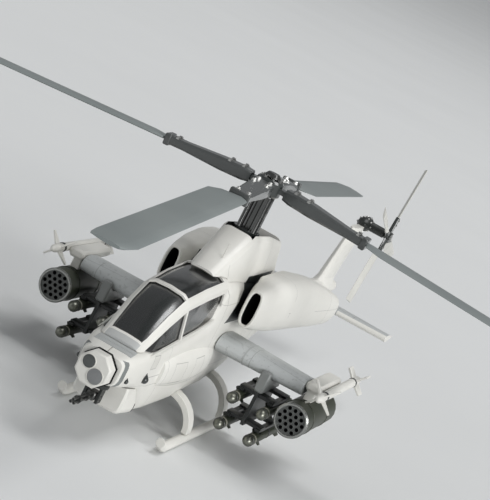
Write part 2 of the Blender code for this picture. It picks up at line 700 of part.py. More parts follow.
def make_nose():
    """The eight-sided sensor turret, its two windows and the chin fairing."""
    face = sensor_face_y()
    head = rod(SENSOR_RADIUS, 0, SENSOR_DEPTH, SENSOR_SIDES, "Y", SENSOR_BEVEL)
    turned(head, 180 / SENSOR_SIDES, "Y")
    moved(head, y=face - SENSOR_DEPTH, z=SENSOR_Z)
    stub = moved(rod(SENSOR_STUB, -2 * SINK, SENSOR_STUB_LENGTH, axis="Y"), y=face, z=SENSOR_Z)
    join(head, stub)
    front = face - SENSOR_DEPTH
    lenses = (
        ("upper_lens", UPPER_LENS_X, UPPER_LENS_RISE, UPPER_LENS_RADIUS),
        ("lower_lens", LOWER_LENS_X, LOWER_LENS_RISE, LOWER_LENS_RADIUS),
    )
    for name, x, rise, radius in lenses:
        well = rod(radius + FIT, -SINK, LENS_DEPTH + FIT, ROUND_SIDES, "Y")
        cut(head, moved(well, x=x, y=front, z=SENSOR_Z + rise))
        dome = [(0, -LENS_DOME), (radius * 0.6, -LENS_DOME * 0.64), (radius, 0)]
        dome += [(radius, LENS_DEPTH), (0, LENS_DEPTH)]
        lens = moved(lathe(dome, ROUND_SIDES, "Y"), x=x, y=front, z=SENSOR_Z + rise)
        finish(lens, name, SMOKE, 0.12)
    finish(head, "sensor_turret", WHITE, 0.5)
    rings = []
    for y, half, bottom in (
        (CHIN_FRONT, CHIN_HALF - CHIN_EDGE, CHIN_BOTTOM + CHIN_EDGE),
        (CHIN_FRONT + CHIN_EDGE, CHIN_HALF, CHIN_BOTTOM),
        (CHIN_REAR, CHIN_REAR_HALF, CHIN_REAR_BOTTOM),
    ):
        section = rounded(half, bottom, CHIN_TOP, CHIN_SQUARE, CHIN_SIDES)
        rings.append([(x, y, z) for x, z in section])
    finish(cut(loft(rings), fuselage_loft(FIT)), "chin_fairing", WHITE, 0.5)


def make_gun():
    """A turret that traverses under the nose and a triple-barrel gun that elevates in its fork."""
    roof = at_station(FUSELAGE, GUN_Y, 2) - RUN
    drum_bottom = roof - GUN_DRUM_HEIGHT
    turret = moved(rod(GUN_DRUM_RADIUS, 0, GUN_DRUM_HEIGHT, ROUND_SIDES, "Z", SMALL_EDGE), z=drum_bottom)
    join(turret, rod(GUN_STUB_RADIUS, drum_bottom + SINK, roof + GUN_STUB_LENGTH))
    inner = GUN_BLOCK_HALF + FIT
    outer = inner + GUN_CHEEK
    reach = GUN_CHEEK_LENGTH / 2
    for side in (1, -1):
        near, wide = min(side * inner, side * outer), max(side * inner, side * outer)
        cheek = block(near, wide, -reach, reach, GUN_Z - reach, drum_bottom + SINK)
        cut(cheek, moved(rod(GUN_PIN_RADIUS + FIT, -FAR, FAR, TINY_SIDES, "X"), z=GUN_Z))
        join(turret, cheek)
    moved(turret, y=GUN_Y)
    finish(on_axis(turret, 0, GUN_Y, 0), "gun_turret", DARK, 0.5)
    half, tall = GUN_BLOCK_LENGTH / 2, GUN_BLOCK_HEIGHT / 2
    gun = block(-GUN_BLOCK_HALF, GUN_BLOCK_HALF, -half, half, -tall, tall, GUN_BLOCK_BEVEL)
    join(gun, rod(GUN_PIN_RADIUS, -outer, outer, TINY_SIDES, "X"))
    for i in range(BARREL_COUNT):
        angle = math.tau * i / BARREL_COUNT + math.pi / 2
        x, z = BARREL_CIRCLE * math.cos(angle), BARREL_CIRCLE * math.sin(angle)
        barrel = rod(BARREL_RADIUS, -half - BARREL_LENGTH, -half + 2 * SINK, BARREL_SIDES, "Y")
        join(gun, moved(barrel, x=x, z=z))
    band = BARREL_CIRCLE + BARREL_RADIUS + BAND_RISE
    for share in BARREL_BANDS:
        y = -half - BARREL_LENGTH * share
        join(gun, moved(rod(band, -BAND_HALF, BAND_HALF, TINY_SIDES, "Y"), y=y))
    moved(gun, y=GUN_Y, z=GUN_Z)
    finish(on_axis(gun, 0, GUN_Y, GUN_Z), "gun_barrels", DARK, 0.4, 0.6)


def make_nacelles():
    """Engine nacelles with a rounded intake and a canted, hollow exhaust nozzle."""
    y0, inner, outer, bottom, top = NACELLE[0]
    rear_y, rear_inner, rear_outer, rear_bottom, rear_top = NACELLE[-1]
    mouth = []
    for share, narrowing in ((-0.1, 0.0), (0.0, 0.0), (0.5, 0.4), (1.0, 1.0)):
        inset = INTAKE_LIP + narrowing * INTAKE_NARROW
        half = (outer - inner) / 2 - inset
        section = rounded(half, bottom + inset, top - inset, NACELLE_SQUARE, NACELLE_SIDES)
        mouth.append([((inner + outer) / 2 + x, y0 + share * INTAKE_DEPTH, z) for x, z in section])
    seat_y = rear_y - NOZZLE_LENGTH + NOZZLE_OUT
    axis_x, axis_z = (rear_inner + rear_outer) / 2, (rear_bottom + rear_top) / 2

    def canted(thing):
        turned(thing, -NOZZLE_CANT, "Z")
        return moved(thing, x=axis_x, y=rear_y, z=axis_z)

    for side, name in ((1, "left"), (-1, "right")):
        nacelle = cut(nacelle_loft(), fuselage_loft(FIT), fairing_loft(FIT), loft(mouth))
        cut(nacelle, canted(rod(NOZZLE_RADIUS + FIT, seat_y - rear_y - FIT, FAR, SMALL_SIDES, "Y")))
        nozzle = rod(NOZZLE_RADIUS, seat_y - rear_y, NOZZLE_OUT, SMALL_SIDES, "Y")
        bore = NOZZLE_RADIUS - NOZZLE_WALL
        cut(nozzle, rod(bore, seat_y - rear_y + NOZZLE_BASE, FAR, SMALL_SIDES, "Y"))
        canted(nozzle)
        if side < 0:
            mirrored(nacelle)
            mirrored(nozzle)
        finish(nacelle, f"nacelle_{name}", WHITE, 0.5)
        finish(nozzle, f"exhaust_{name}", DARK, 0.6)


def make_fairing():
    """The open-topped housing round the rotor mast."""
    outer = FRAME_LIFT + FRAME_THICK
    fairing = cut(fairing_loft(), fuselage_loft(FIT), canopy_loft(outer + FIT))
    half = FAIRING_OPEN_HALF
    cut(fairing, block(-half, half, FAIRING_OPEN_FRONT, FAIRING_OPEN_REAR, FAIRING_FLOOR, HUB_Z))
    cut(fairing, rod(BUSH_RADIUS + FIT, mast_foot(), HUB_Z))
    finish(fairing, "rotor_fairing", WHITE, 0.5)


def airfoil(chord, thick, lead=0.3, shape=SLIM):
    """A lens section with a blunt leading edge, as (along the chord, height) points."""
    points = []
    for share, swell in shape:
        points.append(((share - lead) * chord, swell * thick / 2))
    for share, swell in reversed(shape[1:]):
        points.append(((share - lead) * chord, -swell * thick / 2))
    return points


def on_arm(thing, index):
    """Turns a piece drawn along +X at the hub to its arm of the drooping rotor."""
    tilt = Matrix.Rotation(math.radians(DROOP), 4, "Y")
    pivot = Matrix.Translation((DROOP_RADIUS, 0, 0))
    spin = Matrix.Rotation(math.radians(ROTOR_TURN) + math.tau * index / BLADE_COUNT, 4, "Z")
    lift = Matrix.Translation((0, 0, HUB_Z))
    return place(thing, lift @ spin @ pivot @ tilt @ pivot.inverted())


def make_rotor():
    """Mast, bush, retaining collar, control plate, hub, cuffs and the four drooping blades."""
    flange = FAIRING_FLOOR + FIT
    flange_top = flange + BUSH_FLANGE_THICK
    profile = [(0, bush_foot()), (BUSH_RADIUS, bush_foot()), (BUSH_RADIUS, flange)]
    profile += [(BUSH_FLANGE, flange), (BUSH_FLANGE, flange_top), (0, flange_top)]
    bush = cut(lathe(profile, SMALL_SIDES), rod(MAST_RADIUS + FIT, 0, HUB_Z))
    finish(bush, "mast_bush", STEEL, 0.35, 0.8)
    collar_top = bush_foot() - FIT
    collar = sleeve(COLLAR_RADIUS, MAST_RADIUS + FIT, collar_top - COLLAR_THICK, collar_top)
    hub_top, hub_bottom = HUB_Z + HUB_HEIGHT / 2, HUB_Z - HUB_HEIGHT / 2
    mast = rod(MAST_RADIUS, mast_foot(), hub_top, SMALL_SIDES, "Z", SMALL_EDGE)
    plate_ring = sleeve(PLATE_RADIUS, MAST_RADIUS + FIT, PLATE_Z, PLATE_Z + PLATE_HEIGHT, ROUND_SIDES)
    for i in range(BLADE_COUNT):
        angle = math.radians(ROTOR_TURN) + math.tau * (i + 0.5) / BLADE_COUNT
        x, y = LINK_CIRCLE * math.cos(angle), LINK_CIRCLE * math.sin(angle)
        join(plate_ring, moved(rod(LINK_RADIUS, PLATE_Z + SINK, hub_bottom - FIT, TINY_SIDES), x=x, y=y))
    hub = moved(rod(HUB_RADIUS, 0, HUB_HEIGHT, ROUND_SIDES, "Z", HUB_CHAMFER), z=hub_bottom)
    for i in range(BLADE_COUNT):
        wide, thick = ARM_WIDTH / 2, ARM_THICK / 2
        arm = block(ARM_START, ARM_REACH, -wide, wide, -thick, thick)
        join(hub, on_arm(arm, i))
    cut(hub, rod(MAST_RADIUS + FIT, mast_foot(), HUB_Z + HUB_HEIGHT))
    cap_z = hub_top + FIT
    dome = [(0, cap_z), (CAP_RADIUS, cap_z), (CAP_RADIUS, cap_z + CAP_EDGE)]
    dome += [(CAP_CROWN, cap_z + CAP_HEIGHT), (0, cap_z + CAP_HEIGHT)]
    cap = lathe(dome, SMALL_SIDES)
    pieces = (
        (collar, "mast_collar", STEEL),
        (mast, "rotor_mast", STEEL),
        (plate_ring, "swashplate", DARK),
        (hub, "rotor_hub", DARK),
        (cap, "hub_cap", STEEL),
    )
    for piece, name, colour in pieces:
        finish(on_axis(piece, 0, 0, 0), name, colour, 0.4, 0.4)
    for i in range(BLADE_COUNT):
        finish(make_cuff(i), f"blade_cuff_{i + 1}", DARK, 0.35)
        finish(make_blade(i), f"rotor_blade_{i + 1}", BLADE_GREY, 0.55)


def make_cuff(index):
    """A blade grip: slides over the hub's arm at one end and holds the blade's root at the other."""
    stations = (
        (CUFF_START, CUFF_ROOT_WIDTH, CUFF_ROOT_HEIGHT),
        (CUFF_START + CUFF_ROOT_RUN, CUFF_WIDTH, CUFF_HEIGHT),
        (ARM_REACH + ARM_COVER, CUFF_WIDTH, CUFF_HEIGHT),
        (CUFF_END - CUFF_TIP_RUN, CUFF_TIP_WIDTH, CUFF_TIP_HEIGHT),
        (CUFF_END, CUFF_TIP_WIDTH, CUFF_TIP_HEIGHT),
    )
    rings = []
    for x, width, height in stations:
        w, h, b = width / 2, height / 2, CUFF_BEVEL
        right = [(w, b - h), (w, h - b), (w - b, h)]
        left = [(b - w, h), (-w, h - b), (-w, b - h)]
        rings.append([(x, y, z) for y, z in right + left + [(b - w, -h), (w - b, -h)]])
    cuff = loft(rings)
    wide, thick = ARM_WIDTH / 2 + FIT, ARM_THICK / 2 + FIT
    cut(cuff, block(0, ARM_REACH + FIT, -wide, wide, -thick, thick))
    wide, thick = BLADE_ROOT_CHORD / 2 + FIT, BLADE_THICK / 2 + FIT
    cut(cuff, block(BLADE_START - FIT, FAR, -wide, wide, -thick, thick))
    return on_arm(cuff, index)


def make_blade(index):
    """A main blade: a plain root in its cuff, a short flare, a long even run and a cut-back tip."""
    shoulder = CUFF_END + FIT
    run_end, corner = ROTOR_RADIUS - BLADE_TIP_RUN, ROTOR_RADIUS - BLADE_TIP_CORNER
    stations = (
        (BLADE_START, BLADE_ROOT_CHORD, 0.5),
        (shoulder, BLADE_ROOT_CHORD, 0.5),
        (shoulder + 2 * FIT, BLADE_CHORD * 0.74, 0.38),
        (BLADE_FLARE, BLADE_CHORD, 0.3),
        (run_end, BLADE_CHORD, 0.3),
        (corner, (BLADE_CHORD + BLADE_TIP_CHORD) / 2, 0.22),
        (ROTOR_RADIUS, BLADE_TIP_CHORD, 0.12),
    )
    rings = [[(x, -y, z) for y, z in airfoil(chord, BLADE_THICK, lead)] for x, chord, lead in stations]
    return on_arm(loft(rings), index)


def gearbox_shape(grow=0.0):
    """The tail gearbox: a capsule on top of the fin with a snout towards the rotor."""
    half, radius = GEARBOX_LENGTH / 2 + grow, GEARBOX_RADIUS + grow
    profile = [(0, -half), (radius / 2, GEARBOX_BLUNT - half), (radius, GEARBOX_FRONT - half)]
    profile += [(radius, half - GEARBOX_TAIL), (radius / 2, half), (0, half)]
    case = lathe(profile, SMALL_SIDES, "Y")
    reach = TAIL_HUB_X - TAIL_HUB_THICK / 2 - RUN
    join(case, rod(GEARBOX_SNOUT + grow, 0, reach, SMALL_SIDES, "X"))
    return moved(case, y=TAIL_HUB_Y, z=TAIL_HUB_Z)


def tail_blade():
    """One upright tail blade with its thick grip, set to its pitch."""
    stations = (
        (TAIL_HUB_RADIUS / 2, TAIL_GRIP_CHORD, TAIL_GRIP_THICK, 0.5),
        (TAIL_GRIP_END, TAIL_GRIP_CHORD, TAIL_GRIP_THICK, 0.5),
        (TAIL_GRIP_END + FIT, TAIL_CHORD * 0.8, TAIL_BLADE_THICK, 0.4),
        (TAIL_GRIP_END + TAIL_FLARE, TAIL_CHORD, TAIL_BLADE_THICK, 0.35),
        (TAIL_RADIUS, TAIL_CHORD, TAIL_BLADE_THICK, 0.35),
    )
    rings = []
    for r, chord, thick, lead in stations:
        rings.append([(x, y, r) for y, x in airfoil(chord, thick, lead)])
    return turned(loft(rings), TAIL_PITCH, "Z")


def make_tail():
    """Swept fin, gearbox, tail rotor on its own shaft, and the two stabilisers."""
    rings = []
    for z, lead, trail, thick in (
        (FIN_BASE_Z, FIN_BASE_LEAD, FIN_BASE_TRAIL, FIN_BASE_THICK),
        (FIN_TOP_Z, FIN_TOP_LEAD, FIN_TOP_TRAIL, FIN_TOP_THICK),
    ):
        section = airfoil(trail - lead, thick, 0.0, FULL)
        rings.append([(x, lead + y, z) for y, x in section])
    finish(cut(loft(rings), fuselage_loft(FIT), gearbox_shape(FIT)), "tail_fin", WHITE, 0.5)
    bore_start = TAIL_HUB_X - TAIL_SHAFT_LENGTH - TAIL_HUB_THICK / 2 - FIT
    bore = rod(TAIL_SHAFT_RADIUS + FIT, bore_start, TAIL_HUB_X, SMALL_SIDES, "X")
    moved(bore, y=TAIL_HUB_Y, z=TAIL_HUB_Z)
    finish(cut(gearbox_shape(), bore), "tail_gearbox", DARK, 0.5)
    low, high = -TAIL_HUB_THICK / 2, TAIL_HUB_THICK / 2
    rotor = rod(TAIL_HUB_RADIUS, low, high, SMALL_SIDES, "X", SMALL_EDGE)
    join(rotor, rod(TAIL_SHAFT_RADIUS, low - TAIL_SHAFT_LENGTH, low + SINK, SMALL_SIDES, "X"))
    for i in range(TAIL_BLADES):
        join(rotor, turned(tail_blade(), -TAIL_TURN + 360 * i / TAIL_BLADES, "X"))
    moved(rotor, x=TAIL_HUB_X, y=TAIL_HUB_Y, z=TAIL_HUB_Z)
    finish(on_axis(rotor, TAIL_HUB_X, TAIL_HUB_Y, TAIL_HUB_Z), "tail_rotor", BLADE_GREY, 0.5)
    for side, name in ((1, "left"), (-1, "right")):
        rings = []
        for x, chord in ((STABILISER_ROOT, STABILISER_CHORD), (STABILISER_SPAN, STABILISER_TIP_CHORD)):
            section = airfoil(chord, STABILISER_THICK, 0.5, FULL)
            rings.append([(side * x, STABILISER_Y + y, STABILISER_Z + z) for y, z in section])
        panel = cut(loft(rings), fuselage_loft(FIT))
        root = stabiliser_root_x()
        join(panel, tab(side, root, STABILISER_Y, STABILISER_Z))
        finish(panel, f"stabiliser_{name}", PALE_GREY, 0.5)


def wing_loft(side, grow=0.0):
    rings = []
    for x, lead, trail, thick in (
        (WING_ROOT, WING_ROOT_LEAD, WING_ROOT_TRAIL, WING_THICK),
        (WING_SPAN + grow, WING_TIP_LEAD, WING_TIP_TRAIL, WING_TIP_THICK),
    ):
        section = airfoil(trail - lead + 2 * grow, thick + 2 * grow, 0.0, FULL)
        rings.append([(side * x, lead - grow + y, WING_Z + z) for y, z in section])
    return loft(rings)


def make_wings():
    """Stub wings that plug into the fuselage, with their wingtip launchers."""
    for side, name in ((1, "left"), (-1, "right")):
        wing = cut(wing_loft(side), fuselage_loft(FIT), cheek_loft(side, FIT))
        join(wing, tab(side, wing_root_x(), WING_TAB_Y, WING_Z))
        finish(wing, f"wing_{name}", PALE_GREY, 0.5)
        inner, outer = WING_SPAN + FIT, TIP_X - TIP_RADIUS - FIT
        low, high = TIP_Z - SHOE_HEIGHT / 2, TIP_Z + SHOE_HEIGHT / 2
        shoe = block(inner, outer, SHOE_FRONT, SHOE_REAR, low, high, SHOE_BEVEL)
        half, long = OUTER_PYLON_HALF, OUTER_PYLON_LENGTH / 2
        foot = POD_Z + POD_RADIUS - SINK
        join(shoe, block(POD_X - half, POD_X + half, -long, long, foot, TIP_Z, OUTER_PYLON_BEVEL))
        cut(shoe, moved(rod(POD_RADIUS + FIT, -FAR, FAR, POD_SIDES, "Y"), x=POD_X, z=POD_Z))
        if side < 0:
            mirrored(shoe)
        finish(shoe, f"tip_launcher_{name}", WHITE, 0.5)


def finned(body, radius, reach, thick, start, length, sweep):
    """Adds four fins in a cross, turned 45 degrees, to a round body along Y."""
    for i in range(4):
        root = radius * 0.5
        outline = [(root, start), (reach, start + sweep), (reach, start + length), (root, start + length)]
        fin = plate(outline, "Z", -thick / 2, thick / 2)
        join(body, turned(fin, 45 + 90 * i, "Y"))
    return body


def round_nosed(radius, nose, nose_length, length):
    """A round body along Y with an elliptical nose."""
    profile = []
    steps = 3
    for i in range(steps + 1):
        angle = math.pi / 2 * i / steps
        profile.append((radius * math.sin(angle), nose + nose_length * (1 - math.cos(angle))))
    profile += [(radius, nose + length), (0, nose + length)]
    return lathe(profile, MISSILE_SIDES, "Y")


def tip_missile():
    r, n, thick = TIP_RADIUS, TIP_NOSE, TIP_FIN_THICK
    body = round_nosed(r, n, TIP_NOSE_LENGTH, TIP_LENGTH)
    finned(body, r, TIP_CANARD_REACH, thick, n + TIP_CANARD_Y, TIP_CANARD_LENGTH, TIP_CANARD_SWEEP)
    tail = n + TIP_LENGTH - TIP_FIN_LENGTH
    return finned(body, r, TIP_FIN_REACH, thick, tail, TIP_FIN_LENGTH, TIP_FIN_SWEEP)


def rack_missile():
    r, n = MISSILE_RADIUS, MISSILE_NOSE
    body = round_nosed(r, n, MISSILE_NOSE_LENGTH, MISSILE_LENGTH)
    reach, thick = MISSILE_FIN_REACH, MISSILE_FIN_THICK
    finned(body, r, reach, thick, n + MISSILE_CANARD_Y, MISSILE_CANARD_LENGTH, MISSILE_CANARD_SWEEP)
    tail = n + MISSILE_LENGTH - MISSILE_FIN_LENGTH
    return finned(body, r, reach, thick, tail, MISSILE_FIN_LENGTH, MISSILE_FIN_SWEEP)


def rocket_pod():
    """A launch drum whose recessed face has nineteen tube mouths in a hexagon."""
    r, front, rear = POD_RADIUS, POD_FRONT, POD_REAR
    face = front + POD_RIM
    profile = [(0, face), (r - POD_LIP, face), (r - POD_LIP, front), (r, front), (r, rear - POD_TAIL)]
    profile += [(r * 0.86, rear - POD_TAIL * 0.3), (r * 0.6, rear), (0, rear)]
    pod = lathe(profile, POD_SIDES, "Y")
    most = TUBE_ROWS // 2
    for row in range(-most, most + 1):
        tubes = TUBE_ROWS - abs(row)
        z = row * TUBE_PITCH * math.sqrt(3) / 2
        for i in range(tubes):
            x = (i - (tubes - 1) / 2) * TUBE_PITCH
            tube = rod(TUBE_RADIUS, front - SINK, face + TUBE_DEPTH, TUBE_SIDES, "Y")
            cut(pod, moved(tube, x=x, z=z))
    return pod


def rack_shape():
    """The launcher frame: a pylon, a thin spine under it, two tiers of cross bars and four rails."""
    low = RACK_Z - RACK_STEP_Z + MISSILE_RADIUS
    spine = block(-RACK_SPINE_HALF, RACK_SPINE_HALF, RACK_FRONT, RACK_REAR, low, PYLON_FOOT + SINK)
    join(spine, block(-PYLON_HALF, PYLON_HALF, PYLON_FRONT, PYLON_REAR, PYLON_FOOT, WING_Z, PYLON_BEVEL))
    reach = RACK_STEP_X + RAIL_HALF
    for tier in (-1, 1):
        seat = RACK_Z + tier * RACK_STEP_Z + MISSILE_RADIUS + FIT
        bar = seat + RAIL_HEIGHT - SINK
        for y in (RACK_FRONT + BAR_INSET, RACK_REAR - BAR_INSET - BAR_LENGTH):
            join(spine, block(-reach, reach, y, y + BAR_LENGTH, bar, bar + BAR_HEIGHT))
        for x in (RACK_STEP_X, -RACK_STEP_X):
            rail = block(x - RAIL_HALF, x + RAIL_HALF, RACK_FRONT, RACK_REAR, seat, seat + RAIL_HEIGHT)
            join(spine, rail)
    return moved(spine, x=RACK_X)


def make_stores():
    """Wingtip missiles, rocket pods and the two four-missile racks."""
    for side, name in ((1, "left"), (-1, "right")):
        finish(moved(tip_missile(), x=side * TIP_X, z=TIP_Z), f"tip_missile_{name}", WHITE, 0.5)
        finish(moved(rocket_pod(), x=side * POD_X, z=POD_Z), f"rocket_pod_{name}", OLIVE, 0.5)
        rack = cut(rack_shape(), wing_loft(1, FIT))
        if side < 0:
            mirrored(rack)
        finish(rack, f"missile_rack_{name}", DARK, 0.5)
        number = 0
        for tier in (1, -1):
            for column in (-1, 1):
                number += 1
                x = side * (RACK_X + column * RACK_STEP_X)
                missile = moved(rack_missile(), x=x, z=RACK_Z + tier * RACK_STEP_Z)
                finish(missile, f"missile_{name}_{number}", OLIVE, 0.5)


def make_gear():
    """Two skid tubes with upturned toes and the arched strips that carry them."""
    for side, name in ((1, "left_skid"), (-1, "right_skid")):
        path = []
        for i in range(SKID_CURL_STEPS + 1):
            share = i / SKID_CURL_STEPS
            path.append((SKID_FRONT + SKID_CURL * share, SKID_RADIUS + SKID_RISE * (1 - share) ** 2))
        path.append((SKID_REAR, SKID_RADIUS))
        rings = []
        for y, z in path:
            ring = []
            for k in range(SKID_SIDES):
                angle = math.tau * (k + 0.5) / SKID_SIDES
                across, up = math.cos(angle) * SKID_RADIUS, math.sin(angle) * SKID_RADIUS
                ring.append((side * SKID_X + across, y, z + up))
            rings.append(ring)
        finish(loft(rings), name, WHITE, 0.5)
    finish(cross_tube(CROSS_FRONT_Y, CROSS_FRONT_Z), "front_cross_tube", WHITE, 0.5)
    finish(cross_tube(CROSS_REAR_Y, CROSS_REAR_Z), "rear_cross_tube", WHITE, 0.5)


def settle():
    """Moves the root so that the origin is the bottom centre of the whole part's box."""
    bpy.context.view_layer.update()
    corners = []
    for thing in ROOT.children:
        corners += [thing.matrix_world @ vertex.co for vertex in thing.data.vertices]
    low = [min(c[i] for c in corners) for i in range(3)]
    high = [max(c[i] for c in corners) for i in range(3)]
    ROOT.location = (-(low[0] + high[0]) / 2, -(low[1] + high[1]) / 2, -low[2])
    print("root shift, metres:", [round(value, 6) for value in ROOT.location])


clear_scene()
ROOT = bpy.data.objects.new("helicopter", None)
bpy.context.scene.collection.objects.link(ROOT)
make_fuselage()
make_canopy()
make_cockpit()
make_nose()
make_gun()
make_nacelles()
make_fairing()
make_rotor()
make_tail()
make_wings()
make_stores()
make_gear()
settle()
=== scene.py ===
# %% [markdown]
# # Dressing a toy attack helicopter
# The solid pieces of the toy are already modelled, at their real size and in their real places. This
# notebook gives each of them its moulded finish, and adds the small pieces that only the eye needs.
# The nose points to -Y, the aircraft's left side to +X, and up is +Z.

# %% Load the solid model as a fixed frame
import json
import math

import bmesh
import bpy
from mathutils import Matrix, Quaternion, Vector
from mathutils.bvhtree import BVHTree


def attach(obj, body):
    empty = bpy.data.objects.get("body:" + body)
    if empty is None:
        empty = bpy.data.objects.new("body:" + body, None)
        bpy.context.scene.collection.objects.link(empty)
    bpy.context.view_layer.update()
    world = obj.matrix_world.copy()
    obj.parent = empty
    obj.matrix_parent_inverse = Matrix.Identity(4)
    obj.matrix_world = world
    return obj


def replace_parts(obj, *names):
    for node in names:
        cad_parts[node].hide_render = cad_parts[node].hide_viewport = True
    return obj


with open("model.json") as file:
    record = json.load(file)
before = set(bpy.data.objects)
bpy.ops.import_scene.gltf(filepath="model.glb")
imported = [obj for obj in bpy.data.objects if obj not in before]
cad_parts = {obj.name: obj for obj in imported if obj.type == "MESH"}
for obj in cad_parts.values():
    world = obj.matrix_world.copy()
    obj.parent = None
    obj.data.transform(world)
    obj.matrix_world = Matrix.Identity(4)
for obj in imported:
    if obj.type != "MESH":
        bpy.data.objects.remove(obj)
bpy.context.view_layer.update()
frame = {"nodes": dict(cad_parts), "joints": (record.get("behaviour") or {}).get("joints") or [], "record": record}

# %% [markdown]
# Every place below is given in millimetres from the foot of the rotor mast, because that is how such a
# toy is drawn. The rotor's joint tells where the mast stands, so nothing has to be fitted by eye.

# %% Places in millimetres from the mast's foot
MM = 0.001
HUB_Z = 81.9
JOINTS = {joint["name"]: joint for joint in frame["joints"]}
MAST_FOOT = Vector(JOINTS["main_rotor_spin"]["pos_m"]) - Vector((0, 0, HUB_Z * MM))
BODY_OF = {}
for body_name, members in frame["record"]["behaviour"]["bodies"].items():
    for member in members:
        BODY_OF[member] = body_name
SLOT_OF = {row["node"]: row["material_slot"] for row in frame["record"]["subparts"]}


def spot(x, y, z):
    return MAST_FOOT + Vector((x, y, z)) * MM


print("mast foot:", [round(value, 4) for value in MAST_FOOT])

# %% [markdown]
# The picture was taken from nearly straight ahead with a long lens, and the camera was rolled, so the
# helicopter seems to bank. The viewing angles, the distance and the focal length came from matching
# paired features of the toy, such as the two pods and the two skids.

# %% The camera
FRAME_HEIGHT_PX = 500
FOCAL_PX = 2042.3
SENSOR = 36.0
CAMERA_AT = (152.9, -638.9, 181.0)
AZIMUTH, ELEVATION, ROLL = math.radians(13.238), math.radians(10.477), math.radians(26.674)
CLIP_START = 0.05

scene = bpy.context.scene
back = Vector((
    math.sin(AZIMUTH) * math.cos(ELEVATION),
    -math.cos(AZIMUTH) * math.cos(ELEVATION),
    math.sin(ELEVATION),
))
camera = bpy.data.objects.new("camera", bpy.data.cameras.new("camera"))
scene.collection.objects.link(camera)
camera.rotation_mode = "QUATERNION"
level_view = back.to_track_quat("Z", "Y")
camera.rotation_quaternion = level_view @ Matrix.Rotation(ROLL, 3, "Z").to_quaternion()
camera.location = spot(*CAMERA_AT)
camera.data.sensor_width = SENSOR
camera.data.lens = FOCAL_PX * SENSOR / FRAME_HEIGHT_PX
camera.data.clip_start = CLIP_START
scene.camera = camera
print("lens:", round(camera.data.lens, 1), "mm")

# %% [markdown]
# A toy on a table needs a pale surface under it, a large soft key light from its left, a weak fill from
# the other side and a world that fills the shadows. Key and fill are wide suns, so that they leave no
# pool of light on the floor. A wide lamp overhead is there for the canopy: its reflection is the soft
# highlight on the glass. The floor is stage, not part of the toy.

# %% Floor, lights and world
FLOOR_SIZE = 600.0
FLOOR_DROP = 0.0002
KEY_FROM, KEY_POWER, KEY_SPREAD = (3350, -1700, 1250), 1.9, {"angle": math.radians(30)}
FILL_FROM, FILL_POWER, FILL_SPREAD = (-3200, -2000, 2000), 0.35, {"angle": math.radians(50)}
STRIP_AT, STRIP_POWER = (1100, 900, 3700), 70.0
STRIP_SPREAD = {"shape": "RECTANGLE", "size": 1.7, "size_y": 2.2}
AIM_Z = 35
WORLD_COLOUR, WORLD_POWER = (0.82, 0.84, 0.86, 1), 0.28

scene.view_settings.view_transform = "Standard"
card = bmesh.new()
bmesh.ops.create_grid(card, x_segments=1, y_segments=1, size=FLOOR_SIZE / 2)
bmesh.ops.translate(card, vec=(0, 0, -FLOOR_DROP), verts=card.verts)
floor_mesh = bpy.data.meshes.new("floor")
card.to_mesh(floor_mesh)
card.free()
floor = bpy.data.objects.new("floor", floor_mesh)
scene.collection.objects.link(floor)


def soft_lamp(name, kind, place, power, spread, aim_y=0):
    lamp = bpy.data.objects.new(name, bpy.data.lights.new(name, kind))
    lamp.data.energy = power
    for key, value in spread.items():
        setattr(lamp.data, key, value)
    lamp.location = spot(*place)
    aim = spot(0, aim_y, AIM_Z) - lamp.location
    lamp.rotation_mode = "QUATERNION"
    lamp.rotation_quaternion = aim.to_track_quat("-Z", "Y")
    scene.collection.objects.link(lamp)


soft_lamp("key_lamp", "SUN", KEY_FROM, KEY_POWER, KEY_SPREAD)
soft_lamp("fill_lamp", "SUN", FILL_FROM, FILL_POWER, FILL_SPREAD)
soft_lamp("strip_lamp", "AREA", STRIP_AT, STRIP_POWER, STRIP_SPREAD, STRIP_AT[1])
world = bpy.data.worlds.new("studio")
world.use_nodes = True
world.node_tree.nodes["Background"].inputs["Color"].default_value = WORLD_COLOUR
world.node_tree.nodes["Background"].inputs["Strength"].default_value = WORLD_POWER
scene.world = world

# %% [markdown]
# Shader maths reads best as plain sums. A small class wraps a socket, so that adding or multiplying two
# of them adds the Math node that does it. One more method makes any other node.

# %% A socket that can be used in sums


